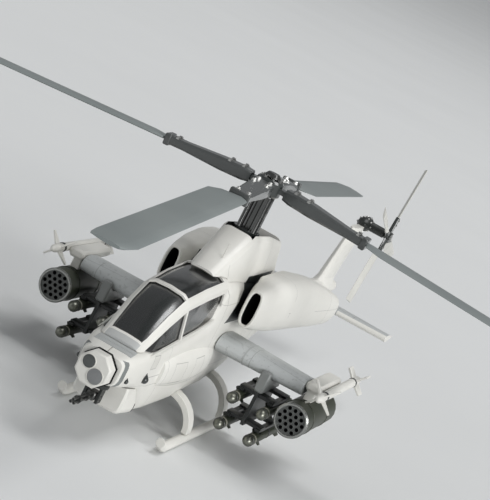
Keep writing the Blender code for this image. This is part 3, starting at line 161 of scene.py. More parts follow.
class Wire:
    def __init__(self, tree, socket):
        self.tree = tree
        self.socket = socket

    def make(self, kind, settings=None, inputs=None, out=0):
        """A node of this kind: its settings first, then the values or wires of its sockets."""
        node = self.tree.nodes.new(kind)
        for key, value in (settings or {}).items():
            if key == "stops":
                for element, (position, colour) in zip(node.color_ramp.elements, value):
                    element.position = position
                    element.color = (*colour, 1)
            else:
                setattr(node, key, value)
        for key, value in (inputs or {}).items():
            if isinstance(value, Wire):
                self.tree.links.new(value.socket, node.inputs[key])
            else:
                node.inputs[key].default_value = value
        return Wire(self.tree, node.outputs[out])

    def sum(self, operation, first, second):
        return self.make("ShaderNodeMath", {"operation": operation}, {0: first, 1: second})

    def __add__(self, other):
        return self.sum("ADD", self, other)

    __radd__ = __add__

    def __mul__(self, other):
        return self.sum("MULTIPLY", self, other)

    __rmul__ = __mul__

    def __sub__(self, other):
        return self.sum("SUBTRACT", self, other)

    def __rsub__(self, other):
        return self.sum("SUBTRACT", other, self)

    def __gt__(self, other):
        return self.sum("GREATER_THAN", self, other)

    def __lt__(self, other):
        return self.sum("LESS_THAN", self, other)

    def noise(self, scale, detail, stretch=(1, 1, 1)):
        place = self.make("ShaderNodeMapping", inputs={"Vector": self, "Scale": stretch})
        inputs = {"Vector": place, "Scale": scale, "Detail": detail}
        return self.make("ShaderNodeTexNoise", inputs=inputs)

    def axis(self, index):
        return self.make("ShaderNodeSeparateXYZ", inputs={0: self}, out=index)

    def between(self, first, second):
        """A colour that runs from the first to the second as this value goes from 0 to 1."""
        inputs = {0: self, 6: (*first, 1) if isinstance(first, tuple) else first, 7: (*second, 1)}
        return self.make("ShaderNodeMix", {"data_type": "RGBA"}, inputs, out=2)

    def inside(self, low, high, lean=0.0):
        """1 within a box given in millimetres from the mast's foot, alike on both sides, and 0 outside.

        A box that leans moves aft by lean for each millimetre of height.
        """
        across = self.axis(0)
        start, end = spot(*low), spot(*high)
        along = self.axis(1)
        if lean:
            along = along - (self.axis(2) - start.z) * lean
        values = (across.sum("ABSOLUTE", across, 0.0), along, self.axis(2))
        mask = (values[0] > start.x) * (values[0] < end.x)
        for index in (1, 2):
            mask = mask * (values[index] > start[index]) * (values[index] < end[index])
        return mask

    def lines(self, pitch, width, shift):
        """1 on thin lines that repeat along this value, in metres, and 0 between them."""
        wave = self.make("ShaderNodeMath", {"operation": "PINGPONG"}, {0: self + shift, 1: pitch / 2})
        return wave < width / 2


print("shader helper ready")

# %% [markdown]
# Most of this toy is injection-moulded plastic under satin paint. Such paint is never one flat colour:
# it drifts a little over a hand's breadth, has a fine grain, and collects dirt in the panel lines. One
# function makes that finish.

# %% A moulded and painted finish
DRIFT_DETAIL, DRIFT_GAIN, DRIFT_SHIFT = 4.0, 1.6, 0.3
NOISE_MEAN = 0.5
GRAIN_DETAIL, GRAIN_DEPTH, GRAIN_STRENGTH = 2.0, 0.00002, 0.35
SPECKLE_SCALE, SPECKLE_STRENGTH, SPECKLE_DARK = 900.0, 0.4, 0.55
WORN_SCALE, WORN_DETAIL, WORN_BELOW = 38.0, 1.0, 0.43
PANEL_STRENGTH, PANEL_DARK = 0.5, 0.35
HATCH_LINE, HATCH_STRENGTH, HATCH_DARK = 0.22, 0.6, 0.4
LINE_DEPTH = 3.0
PAINT_COAT_ROUGH = 0.12


def shader_of(name):
    material = bpy.data.materials.new(name)
    material.use_nodes = True
    tree = material.node_tree
    shader = tree.nodes["Principled BSDF"]
    texture = tree.nodes.new("ShaderNodeTexCoord")
    return material, shader, Wire(tree, texture.outputs["Object"])


def feed(shader, name, wire):
    wire.tree.links.new(wire.socket, shader.inputs[name])


def settle(shader, values):
    """Sets the shader's constant sockets."""
    for name, value in values.items():
        shader.inputs[name].default_value = value


def darker(colour, share):
    return tuple(value * share for value in colour)


def moulded(name, colour, shade, rough, spread=0.08, grain=2600.0, coat=0.0, metallic=0.0, shine=0.5,
            drift=70.0, stretch=(1, 1, 1), speckle=0.0, panels=(), patches=(), hatches=()):
    """Satin plastic whose colour drifts to shade.

    Panels are (axis, pitch, width, shift) line sets. Patches are boxes (low, high, colour, strength,
    lean) that take another colour, and hatches are boxes (low, high) drawn as an outline. All are in
    millimetres.
    """
    material, shader, place = shader_of(name)
    tone = place.noise(drift, DRIFT_DETAIL, stretch)
    relief = place.noise(grain, GRAIN_DETAIL, stretch)
    colours = (tone * DRIFT_GAIN - DRIFT_SHIFT).between(colour, shade)
    if speckle:
        spots = place.noise(SPECKLE_SCALE, GRAIN_DETAIL) > 1 - speckle
        colours = (spots * SPECKLE_STRENGTH).between(colours, darker(colour, SPECKLE_DARK))
    for axis, pitch, width, shift in panels:
        line = place.axis(axis).lines(pitch * MM, width * MM, shift * MM)
        line = line * (place.noise(WORN_SCALE, WORN_DETAIL) > WORN_BELOW)
        colours = (line * PANEL_STRENGTH).between(colours, darker(shade, PANEL_DARK))
        relief = relief - line * LINE_DEPTH
    for low, high, paint, strength, *lean in patches:
        colours = (place.inside(low, high, *lean) * strength).between(colours, paint)
    for low, high in hatches:
        inner_low = (low[0], low[1] + HATCH_LINE, low[2] + HATCH_LINE)
        inner_high = (high[0], high[1] - HATCH_LINE, high[2] - HATCH_LINE)
        line = place.inside(low, high) - place.inside(inner_low, inner_high)
        colours = (line * HATCH_STRENGTH).between(colours, darker(shade, HATCH_DARK))
        relief = relief - line * LINE_DEPTH
    bumps = {"Height": relief, "Strength": GRAIN_STRENGTH, "Distance": GRAIN_DEPTH}
    feed(shader, "Base Color", colours)
    feed(shader, "Roughness", (tone - NOISE_MEAN) * spread * 2 + rough)
    feed(shader, "Normal", place.make("ShaderNodeBump", inputs=bumps))
    settle(shader, {
        "Metallic": metallic, "Specular IOR Level": shine,
        "Coat Weight": coat, "Coat Roughness": PAINT_COAT_ROUGH,
    })
    return material


print("grain:", GRAIN_DEPTH / MM, "mm deep")

# %% [markdown]
# The body has panel lines, a few hatches, a dark patch behind the sensor head, black painted shade in the gaps
# beside the nacelles, and a duller panel on each cheek. The wings have their own lines, and a speckle. The painted
# slots of the solid model get their finishes first. The others are for pieces that differ from their slot.

# %% The toy's painted finishes
WHITE, WHITE_SHADE = (0.80, 0.79, 0.745), (0.70, 0.69, 0.645)
# Painted shade, in part: the grey of the nose deck strips and of the canopy's front hoop is partly their own
# colour and partly the shade of surfaces that face up. The joint straps take the same grey.
NOSE_SHADE_AND_STRAP_GREY, NOSE_SHADE_AND_STRAP_DRIFT = (0.46, 0.475, 0.47), (0.4, 0.415, 0.41)
BODY_PANELS = ((1, 37.0, 0.2, 15.0), (2, 23.2, 0.18, 1.4))
WING_PANELS = ((0, 30.0, 0.2, 6.4), (1, 9.5, 0.16, 3.0))
CHEEK_PANEL = ((7.0, -71.0, 27.6), (13.0, -66.4, 32.2))
BODY_MARKS_AND_GAP_SHADE = (
    ((4.0, -86.9, 21.4), (12.0, -85.3, 30.3), (0.2, 0.215, 0.21), 1.0),
    # Painted shade: black over the gaps between the fuselage and the nacelles, and on the nacelles' inner sides.
    ((5.0, -15.4, 38.2), (13.0, 14.0, 52.5), (0.02, 0.024, 0.023), 1.0, 1.1),
    (*CHEEK_PANEL, (0.6, 0.59, 0.55), 0.5),
    ((7.0, -70.0, 24.7), (13.0, -60.0, 24.95), (0.3, 0.3, 0.28), 0.7),
)
BODY_HATCHES = (
    CHEEK_PANEL,
    ((7.0, -52.6, 21.6), (16.0, -43.4, 28.6)),
    ((7.0, -36.0, 21.0), (16.0, -27.0, 29.0)),
    ((7.0, 22.0, 24.0), (14.0, 34.0, 33.0)),
    ((4.0, 70.0, 30.0), (9.0, 82.0, 38.0)),
)
# Painted shade, in part: the canopy frame's front hoop takes the deck's grey.
HOOP_PAINTED_SHADE = ((0.0, -79.2, 30.0), (5.5, -76.8, 38.0), NOSE_SHADE_AND_STRAP_GREY, 0.9)
FINISH = {
    "white_plastic": moulded(
        "white_paint", WHITE, WHITE_SHADE, 0.42,
        panels=BODY_PANELS, patches=BODY_MARKS_AND_GAP_SHADE, hatches=BODY_HATCHES,
    ),
    "grey_plastic": moulded(
        "grey_paint", (0.56, 0.58, 0.575), (0.46, 0.48, 0.48), 0.42, panels=WING_PANELS, speckle=0.38
    ),
    "dark_plastic": moulded(
        "black_satin", (0.014, 0.016, 0.0155), (0.027, 0.03, 0.028), 0.4, spread=0.12
    ),
    "hub_plastic": moulded("black_gloss", (0.022, 0.026, 0.026), (0.04, 0.045, 0.042), 0.22, coat=0.6),
    "gun_metal": moulded("gun_grey", (0.075, 0.078, 0.075), (0.13, 0.13, 0.125), 0.34, metallic=0.7),
    "olive_plastic": moulded(
        "olive_paint", (0.03, 0.036, 0.023), (0.046, 0.052, 0.034), 0.45, spread=0.1
    ),
    "blade_plastic": moulded(
        "blade_grey", (0.19, 0.215, 0.215), (0.26, 0.285, 0.28), 0.45, drift=26.0, stretch=(1, 1, 4)
    ),
}
CLEAN_WHITE = moulded("clean_white", WHITE, WHITE_SHADE, 0.4, drift=40.0)
# The deck strips' grey, partly painted shade, and the joint straps' grey.
NOSE_SHADE_AND_STRAP_PAINT = moulded("nose_shade_and_strap_grey", NOSE_SHADE_AND_STRAP_GREY, NOSE_SHADE_AND_STRAP_DRIFT, 0.5, drift=50.0)
FRAME_WHITE = moulded("frame_white", WHITE, WHITE_SHADE, 0.36, drift=40.0, patches=(HOOP_PAINTED_SHADE,))
PALE = moulded("pale_rim", (0.74, 0.73, 0.68), (0.6, 0.59, 0.55), 0.3, coat=0.4)
PALE_BLADE = moulded("pale_blade", (0.66, 0.655, 0.61), (0.56, 0.555, 0.52), 0.42, stretch=(1, 4, 1))
CUFF_GREY = moulded("cuff_grey", (0.05, 0.055, 0.055), (0.08, 0.085, 0.083), 0.26, coat=0.6)
FACE_GREY = moulded("pod_face_grey", (0.11, 0.116, 0.112), (0.15, 0.156, 0.151), 0.42, spread=0.12)
PYLON_GREY = moulded("pylon_grey", (0.26, 0.27, 0.265), (0.2, 0.21, 0.205), 0.4)
RIM_METAL = moulded("rim_metal", (0.36, 0.365, 0.35), (0.3, 0.305, 0.29), 0.26, metallic=0.9)
DARK_STEEL = moulded("dark_steel", (0.1, 0.102, 0.1), (0.15, 0.15, 0.147), 0.2, metallic=0.9)
SEEKER = moulded("seeker_dome", (0.25, 0.255, 0.22), (0.2, 0.205, 0.175), 0.38, metallic=1.0)
DULL_BAND = moulded("dull_band", (0.3, 0.29, 0.245), (0.24, 0.235, 0.2), 0.45)
BLACK = moulded("deep_black", (0.006, 0.007, 0.007), (0.011, 0.012, 0.012), 0.7, shine=0.1)
RUBBER = moulded("black_rubber", (0.02, 0.021, 0.021), (0.032, 0.033, 0.033), 0.62, grain=4200.0)
print("painted slots:", sorted(FINISH))

# %% [markdown]
# The steel pieces are turned on a lathe, so their roughness runs in fine rings. The canopy is smoked
# clear plastic: light goes through it, greyed, and finger smears show in its gloss. The sensor windows
# are polished, under a hard coat.

# %% Steel, smoked glass and polished windows
LATHE_SCALE, LATHE_DETAIL, LATHE_STRETCH = 1500.0, 2.0, (1, 1, 6)
STEEL_ROUGH, STEEL_SPREAD = 0.16, 0.25
STEEL_PALE, STEEL_DEEP = (0.62, 0.62, 0.6), (0.46, 0.46, 0.45)
SMEAR_SCALE, SMEAR_DETAIL, SMEAR_STRETCH = 130.0, 4.0, (1, 0.4, 1)
GLASS_ROUGH, GLASS_SPREAD = 0.06, 0.16
GLASS_DEEP, GLASS_PALE = (0.05, 0.055, 0.055), (0.085, 0.09, 0.09)
HAZE_SCALE, HAZE_DETAIL = 400.0, 3.0
WINDOW_ROUGH, WINDOW_SPREAD = 0.3, 0.1


def turned_steel():
    material, shader, place = shader_of("turned_steel")
    rings = place.noise(LATHE_SCALE, LATHE_DETAIL, LATHE_STRETCH)
    feed(shader, "Roughness", rings * STEEL_SPREAD + STEEL_ROUGH)
    feed(shader, "Base Color", rings.between(STEEL_PALE, STEEL_DEEP))
    settle(shader, {"Metallic": 1.0})
    return material


def smoked_glass():
    material, shader, place = shader_of("smoked_canopy")
    smears = place.noise(SMEAR_SCALE, SMEAR_DETAIL, SMEAR_STRETCH)
    feed(shader, "Roughness", smears * GLASS_SPREAD + GLASS_ROUGH)
    feed(shader, "Base Color", smears.between(GLASS_DEEP, GLASS_PALE))
    settle(shader, {
        "Transmission Weight": 0.72, "IOR": 1.5, "Coat Weight": 1.0, "Coat Roughness": 0.24,
    })
    return material


def window(name, colour, tint):
    material, shader, place = shader_of(name)
    haze = place.noise(HAZE_SCALE, HAZE_DETAIL)
    feed(shader, "Base Color", haze.between(colour, tint))
    feed(shader, "Roughness", haze * WINDOW_SPREAD + WINDOW_ROUGH)
    settle(shader, {"Coat Weight": 1.0, "Coat Roughness": 0.04})
    return material


STEEL = turned_steel()
FINISH["steel"] = STEEL
FINISH["smoked_glass"] = smoked_glass()
UPPER_WINDOW = window("upper_window", (0.04, 0.046, 0.044), (0.06, 0.068, 0.065))
LOWER_WINDOW = window("lower_window", (0.17, 0.176, 0.178), (0.22, 0.226, 0.228))
print("slots with a finish:", len(FINISH))

# %% [markdown]
# The floor is a plain pale card. It still has a faint tooth, or it would look like a hole in the
# picture.

# %% The floor's card
floor_paint = moulded("pale_card", (0.74, 0.75, 0.75), (0.7, 0.71, 0.71), 0.8, grain=700.0, drift=6.0)
floor.data.materials.append(floor_paint)
print("floor card:", FLOOR_SIZE, "m wide")

# %% [markdown]
# A solid piece comes from the frame as loose triangles, so its facets show. A copy is welded, its flat
# areas are merged, its round areas shaded smooth, and a hair-fine bevel on the edges catches the light
# as a moulded edge does. The copy stands in for the solid, which stays for collision.

# %% Smooth copies of the solid pieces
WELD = 1e-6
FLAT_ANGLE = math.radians(0.6)
SMOOTH_ANGLE = math.radians(38)
MOULD_EDGE, MOULD_SEGMENTS = 0.00014, 2


def welded(node):
    """A copy of a solid with its loose triangles joined."""
    work = bmesh.new()
    work.from_mesh(frame["nodes"][node].data)
    bmesh.ops.remove_doubles(work, verts=work.verts, dist=WELD)
    return work


def smooth_mesh(work, name):
    """The mesh of a finished shape, shaded smooth up to its sharp edges."""
    for face in work.faces:
        face.smooth = True
    mesh = bpy.data.meshes.new(name)
    work.to_mesh(mesh)
    work.free()
    mesh.set_sharp_from_angle(angle=SMOOTH_ANGLE)
    return mesh


def show(mesh, name, body, slot, *materials):
    """Puts a finished mesh into the scene as a piece that rides on a body."""
    made = bpy.data.objects.new(name, mesh)
    scene.collection.objects.link(made)
    for material in materials:
        mesh.materials.append(material)
    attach(made, body)
    return made


def dress(node, edge=MOULD_EDGE, finishes=None, picks=None):
    """A smooth, bevelled copy of a solid. Picks gives each face the number of its finish."""
    work = welded(node)
    bmesh.ops.dissolve_limit(work, angle_limit=FLAT_ANGLE, verts=work.verts, edges=work.edges)
    if picks:
        for face in work.faces:
            middle = (face.calc_center_median() - MAST_FOOT) / MM
            face.material_index = int(picks(middle, face.normal))
    mesh = smooth_mesh(work, node + "_skin")
    slot = SLOT_OF[node]
    made = show(mesh, node + "_skin", BODY_OF[node], slot, *(finishes or [FINISH[slot]]))
    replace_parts(made, node)
    if edge:
        bevel = made.modifiers.new("moulded_edge", "BEVEL")
        bevel.width = edge
        bevel.segments = MOULD_SEGMENTS
        bevel.limit_method = "ANGLE"
        bevel.angle_limit = SMOOTH_ANGLE


print("moulded edge:", MOULD_EDGE / MM, "mm")

# %% [markdown]
# Some pieces are moulded in one colour and painted in another. The face's place tells which: the tip of a missile
# is a dull metal dome and the tail rotor's grips are black, while the black inside a launch tube is painted shade.

# %% Which faces take which finish
POD_X, POD_Z, POD_FACE, POD_FACE_RADIUS, POD_FACE_DEPTH = 45.0, 22.0, -17.4, 5.2, 0.1
MISSILE_DOME_END = -18.7
TAIL_HUB = Vector((10.5, 184.5, 59.0))
TAIL_GRIP_END = 8.7
PYLON_FOOT = 23.4
FAIRING_FLOOR, FAIRING_FLOOR_TOP, FAIRING_HALF = 56.9, 58.0, 5.3
FAIRING_WALL, FAIRING_WALL_NEAR = 5.2, 0.05
INTAKE_FRONT, INTAKE_BACK = -10.3, 0.0
INTAKE_X, INTAKE_Z, INTAKE_REACH_X, INTAKE_REACH_Z = 15.6, 45.6, 3.0, 6.0
FACING, LEADING = 0.9, 0.3
LINK_FOOT = 66.4


def pod_faces(middle, normal):
    """Grey on the face of the pod, and black in its tubes as painted shade."""
    reach = math.hypot(abs(middle.x) - POD_X, middle.z - POD_Z)
    if reach < POD_FACE_RADIUS and middle.y < 0:
        return 2 if middle.y > POD_FACE + POD_FACE_DEPTH else 1
    return 0


def stabiliser_faces(middle, normal):
    """White on the leading edge and on the tip."""
    return normal.y < -LEADING or abs(normal.x) > FACING


def nacelle_faces(middle, normal):
    """Black inside the intake as painted shade, where a face looks at the middle of the opening or straight ahead.
    """
    across, up = abs(middle.x) - INTAKE_X, middle.z - INTAKE_Z
    near = across < INTAKE_REACH_X and abs(up) < INTAKE_REACH_Z
    inward = math.copysign(normal.x, normal.x * middle.x) * across + normal.z * up < 0
    return near and INTAKE_FRONT < middle.y < INTAKE_BACK and (inward or normal.y < -FACING)


def fairing_faces(middle, normal):
    """Black on the floor and on the side walls of the trough that the mast stands in, as painted shade."""
    on_floor = FAIRING_FLOOR < middle.z < FAIRING_FLOOR_TOP and abs(middle.x) < FAIRING_HALF
    on_wall = abs(abs(middle.x) - FAIRING_WALL) < FAIRING_WALL_NEAR and normal.x * middle.x < 0
    return on_wall or (on_floor and normal.z > FACING)


def tail_rotor_faces(middle, normal):
    """Black on the grips of the tail rotor."""
    return math.hypot(middle.y - TAIL_HUB.y, middle.z - TAIL_HUB.z) < TAIL_GRIP_END


def swashplate_faces(middle, normal):
    """Steel on the links above the plate."""
    return middle.z > LINK_FOOT


def rack_faces(middle, normal):
    """Grey on the pylon of a missile rack."""
    return middle.z > PYLON_FOOT


def missile_faces(middle, normal):
    """Metal on the dome of a missile."""
    return middle.y < MISSILE_DOME_END


print("intake blacked from", INTAKE_FRONT, "to", INTAKE_BACK, "mm")

# %% [markdown]
# Every solid is now dressed. The two lenses wait, because modelled panes replace them.

# %% Dress every piece
SIDES = ("left", "right")
NUMBERS = range(1, 5)
WHITE_NODES = (
    "left_skid", "right_skid", "front_cross_tube", "rear_cross_tube", "tip_missile_left",
    "tip_missile_right", "tip_launcher_left", "tip_launcher_right", "sensor_turret", "tail_fin",
)
WHITE_BODY, OLIVE = FINISH["white_plastic"], FINISH["olive_plastic"]
GLOSS, SATIN, GUN = FINISH["hub_plastic"], FINISH["dark_plastic"], FINISH["gun_metal"]
SPECIAL = {name: {"finishes": [CLEAN_WHITE]} for name in WHITE_NODES}
SPECIAL["canopy_frame"] = {"finishes": [FRAME_WHITE]}
SPECIAL["rotor_mast"] = {"finishes": [DARK_STEEL]}
SPECIAL["hub_cap"] = {"finishes": [DARK_STEEL]}
SPECIAL["canopy_glass"] = {"edge": 0}
SPECIAL["tail_rotor"] = {"finishes": [PALE_BLADE, GLOSS], "picks": tail_rotor_faces}
SPECIAL["rotor_fairing"] = {"finishes": [WHITE_BODY, BLACK], "picks": fairing_faces}
SPECIAL["swashplate"] = {"finishes": [GLOSS, DARK_STEEL], "picks": swashplate_faces}
for side in SIDES:
    SPECIAL[f"rocket_pod_{side}"] = {"finishes": [OLIVE, FACE_GREY, BLACK], "picks": pod_faces}
    SPECIAL[f"stabiliser_{side}"] = {
        "finishes": [FINISH["grey_plastic"], CLEAN_WHITE], "picks": stabiliser_faces,
    }
    SPECIAL[f"nacelle_{side}"] = {"finishes": [WHITE_BODY, BLACK], "picks": nacelle_faces}
    SPECIAL[f"missile_rack_{side}"] = {"finishes": [SATIN, PYLON_GREY], "picks": rack_faces}
    for number in NUMBERS:
        SPECIAL[f"missile_{side}_{number}"] = {"finishes": [OLIVE, SEEKER], "picks": missile_faces}
for number in NUMBERS:
    SPECIAL[f"blade_cuff_{number}"] = {"finishes": [CUFF_GREY]}
MADE_LATER = ("upper_lens", "lower_lens")
for node in sorted(frame["nodes"]):
    if node not in MADE_LATER:
        dress(node, **SPECIAL.get(node, {}))
print("dressed:", len(frame["nodes"]) - len(MADE_LATER), "pieces")

# %% [markdown]
# The rest is small fittings. They are made as a workshop would make them: turned from a profile, bent
# from a rod, cut from a block, or swept from an outline.

# %% Workshop shapes
BOLT_SIDES, RING_STEPS, ROD_SIDES = 6, 32, 10
TURN_WELD = 1e-5
WASHER_SHARE, WASHER_RISE, CHAMFER_FROM, CHAMFER_IN = 1.35, 0.25, 0.8, 0.75


def turned(profile, steps=RING_STEPS, closed=False):
    """A body turned about +Z from (radius, height) points in millimetres."""
    work = bmesh.new()
    points = [work.verts.new((radius, 0, height)) for radius, height in profile]
    pairs = list(zip(points, points[1:])) + ([(points[-1], points[0])] if closed else [])
    edges = [work.edges.new(pair) for pair in pairs]
    bmesh.ops.spin(
        work, geom=points + edges, cent=(0, 0, 0), axis=(0, 0, 1), angle=math.tau,
        steps=steps, use_merge=True,
    )
    bmesh.ops.remove_doubles(work, verts=work.verts, dist=TURN_WELD)
    bmesh.ops.recalc_face_normals(work, faces=work.faces)
    return work


def ring(inner, outer, low, high, edge, steps=RING_STEPS):
    """A flat ring with its outer edges broken."""
    profile = [(inner, low), (outer - edge, low), (outer, low + edge), (outer, high - edge)]
    return turned(profile + [(outer - edge, high), (inner, high)], steps, closed=True)


def bolt(radius, height):
    """A hexagon head on a thin washer."""
    washer, foot = radius * WASHER_SHARE, height * WASHER_RISE
    profile = [(0, -height), (washer, -height), (washer, foot), (radius, foot)]
    profile += [(radius, height * CHAMFER_FROM), (radius * CHAMFER_IN, height), (0, height)]
    return turned(profile, BOLT_SIDES)


def block(x, y, z, edge):
    """A block about its own middle, with every edge rounded."""
    work = bmesh.new()
    bmesh.ops.create_cube(work, size=1)
    bmesh.ops.scale(work, vec=(x, y, z), verts=work.verts)
    bmesh.ops.bevel(
        work, geom=work.edges[:], offset=edge, segments=3, profile=0.5, affect="EDGES", material=-1
    )
    return work


def swept(outline, frames, closed=False):
    """A body swept from an outline of (x, y) points through a row of frames."""
    work = bmesh.new()
    points = bmesh.ops.create_circle(work, segments=len(outline), radius=1)["verts"]
    for point, (x, y) in zip(points, outline):
        point.co = frames[0] @ Vector((x, y, 0))
    first = work.edges[:]
    last = first
    for before, after in zip(frames, frames[1:]):
        made = bmesh.ops.extrude_edge_only(work, edges=last)["geom"]
        moved = [item for item in made if isinstance(item, bmesh.types.BMVert)]
        bmesh.ops.transform(work, matrix=after @ before.inverted(), verts=moved)
        last = [item for item in made if isinstance(item, bmesh.types.BMEdge) and item.is_boundary]
    if closed:
        bmesh.ops.bridge_loops(work, edges=first + last)
    else:
        bmesh.ops.holes_fill(work, edges=first + last)
    bmesh.ops.recalc_face_normals(work, faces=work.faces)
    return work


def bent_rod(points, radius, sides=ROD_SIDES, closed=False):
    """A round rod bent along points in millimetres, without twist."""
    path = [Vector(point) for point in points]
    heading, turn = Vector((0, 0, 1)), Quaternion()
    frames = []
    for i, point in enumerate(path):
        ahead = path[(i + 1) % len(path)] if closed or i < len(path) - 1 else point
        behind = path[i - 1] if closed or i else point
        along = (ahead - behind).normalized()
        turn = heading.rotation_difference(along) @ turn
        heading = along
        frames.append(Matrix.Translation(point) @ turn.to_matrix().to_4x4())
    angles = [math.tau * k / sides for k in range(sides)]
    return swept([(radius * math.cos(a), radius * math.sin(a)) for a in angles], frames, closed)


print("a ring has", RING_STEPS, "steps, and a rod", ROD_SIDES, "sides")

# %% [markdown]
# A fitting sits at a measured place, at the nearest point of a solid's surface, or on the surface
# straight under a point. Copies of one fitting are gathered into one piece, and a strap is the skin of
# a solid between two planes, lifted a little.

# %% Setting fittings in place
ABOVE = 70.0
TREES = {}


def at(x, y, z, out=None):
    """Puts a fitting drawn in millimetres at a place, upright or with its +Z along out."""
    place = Matrix.Translation(spot(x, y, z))
    if out is not None:
        place = place @ Vector(out).to_track_quat("Z", "Y").to_matrix().to_4x4()
    return place @ Matrix.Scale(MM, 4)


def skin_of(node):
    if node not in TREES:
        mesh = frame["nodes"][node].data
        corners = [vertex.co for vertex in mesh.vertices]
        TREES[node] = BVHTree.FromPolygons(corners, [polygon.vertices for polygon in mesh.polygons])
    return TREES[node]


def stand_on(node, x, y, z):
    """Puts a fitting upright on the nearest place of a solid's surface."""
    place = skin_of(node).find_nearest(spot(x, y, z))[0]
    return Matrix.Translation(place) @ Matrix.Scale(MM, 4)


def top_of(node, x, y):
    """The highest place of a solid's surface at x and y."""
    return skin_of(node).ray_cast(spot(x, y, ABOVE), Vector((0, 0, -1)))[0]


def gather(name, body, slot, material, parts):
    """One piece from copies of fittings, given as (fitting, where)."""
    work = bmesh.new()
    for fitting, where in parts:
        copy = bpy.data.meshes.new("fitting")
        fitting.to_mesh(copy)
        copy.transform(where)
        work.from_mesh(copy)
        bpy.data.meshes.remove(copy)
    return show(smooth_mesh(work, name), name, body, slot, material)


def strap(node, name, slot, material, axis, span, lift):
    """A thin strap round a solid of the airframe, over a span along an axis, standing off by lift."""
    work = welded(node)
    way = Vector([1.0 if index == axis else 0.0 for index in range(3)])
    for edge_at, side in ((min(span), -1), (max(span), 1)):
        bmesh.ops.bisect_plane(
            work, geom=work.verts[:] + work.edges[:] + work.faces[:],
            plane_co=spot(edge_at, edge_at, edge_at), plane_no=way * side, clear_outer=True,
        )
    bmesh.ops.recalc_face_normals(work, faces=work.faces)
    work.normal_update()
    made = bmesh.ops.extrude_face_region(work, geom=work.faces[:])
    work.normal_update()
    for item in made["geom"]:
        if isinstance(item, bmesh.types.BMVert):
            item.co += item.normal * lift * MM
    bmesh.ops.recalc_face_normals(work, faces=work.faces)
    show(smooth_mesh(work, name), name, "airframe", slot, material)


def both(maker):
    """The fittings of both sides, from a function of the side: 1 on the left and -1 on the right."""
    return [part for side in (1, -1) for part in maker(side)]


print("fittings drop onto a skin from", ABOVE, "mm up")

# %% [markdown]
# The nose has the two sensor windows in pale bezels, a black ring behind the eight-sided head that paints the
# shade of the gap there, and two pairs of small dark warning sensors on the cheeks. Each of these is a ball that
# runs out to a point at the top, so one profile turned about its own height makes it.

# %% Sensor head and warning sensors
NOSE_OUT = (0, -1, 0)
SENSOR_FACE, SENSOR_Z, HEAD_BACK, HEAD_SIDES = -92.9, 25.2, -88.3, 8
LENSES = (("upper_lens", -1.9, 26.9, 2.0, UPPER_WINDOW), ("lower_lens", 1.6, 23.65, 2.4, LOWER_WINDOW))
PANE_BACK, PANE_RIM, PANE_SHOULDER, PANE_CROWN, SHOULDER_SHARE = -0.7, 0.06, 0.22, 0.3, 0.6
BEZEL_INNER, BEZEL_OUTER, BEZEL_LOW, BEZEL_HIGH, BEZEL_EDGE = 0.01, 0.26, -0.3, 0.2, 0.1
HEAD_RING_SHADE = (2.8, 6.05, -0.24, 0.28, 0.05)
HALVES = ("fuselage_left", "fuselage_right")
WARNING_SENSORS = ((1.3, 12.0, -71.9, 24.4), (0.75, 11.0, -84.2, 24.4))
BALL_STEPS, BALL_SIDES, BALL_TOP = 12, 24, 0.8
NECK_SHARE, NECK_RISE, POINT_RISE = 0.3, 1.25, 1.75

bezels = []
for node, x, z, radius, glass in LENSES:
    place = at(x, SENSOR_FACE, z, NOSE_OUT)
    profile = [(0, PANE_BACK), (radius, PANE_BACK), (radius, PANE_RIM)]
    pane = turned(profile + [(radius * SHOULDER_SHARE, PANE_SHOULDER), (0, PANE_CROWN)])
    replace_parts(gather(node + "_pane", "airframe", "smoked_glass", glass, [(pane, place)]), node)
    inner, outer = radius + BEZEL_INNER, radius + BEZEL_OUTER
    bezels.append((ring(inner, outer, BEZEL_LOW, BEZEL_HIGH, BEZEL_EDGE), place))
gather("lens_bezels", "airframe", "white_plastic", PALE, bezels)
half_side = Matrix.Rotation(math.pi / HEAD_SIDES, 4, "Z")
head_back = at(0, HEAD_BACK, SENSOR_Z, NOSE_OUT) @ half_side
# Painted shade: a black ring fills the gap behind the sensor head.
gather("head_ring_shade", "airframe", "dark_plastic", BLACK, [(ring(*HEAD_RING_SHADE, HEAD_SIDES), head_back)])


def pointed_ball(radius):
    """A ball whose top runs out to a point."""
    profile = []
    for i in range(BALL_STEPS + 1):
        angle = -math.pi / 2 + (math.pi / 2 + BALL_TOP) * i / BALL_STEPS
        profile.append((radius * math.cos(angle) if i else 0, radius * math.sin(angle)))
    profile += [(radius * NECK_SHARE, radius * NECK_RISE), (0, radius * POINT_RISE)]
    return turned(profile, BALL_SIDES)


def warning_sensors(side):
    rows = []
    for radius, x, y, z in WARNING_SENSORS:
        rows.append((pointed_ball(radius), stand_on(HALVES[side < 0], side * x, y, z)))
    return rows


gather("warning_sensors", "airframe", "dark_plastic", GLOSS, both(warning_sensors))
print("lenses:", len(LENSES), "and warning sensors:", 2 * len(WARNING_SENSORS))

# %% [markdown]
# A grey band in two strips lies over the nose, before the canopy; its grey is partly the strips' own colour and
# partly painted shade of the deck that faces up. A strip starts as a grid, and each of its points drops onto the
# half of the fuselage below it. A dark line closes the chin fairing's rear.

# %% Deck strips and chin gap
SEAM = 0.4
DECK_HALF, DECK_LIFT, DECK_THICK = 6.4, 0.22, 0.5
DECK_ACROSS, DECK_ALONG = 16, 4
DECK_STRIPS = ((-83.7, -81.6), (-81.35, -79.1))
CHIN_GAP, CHIN_GAP_LIFT = (-65.1, -64.7), 0.06


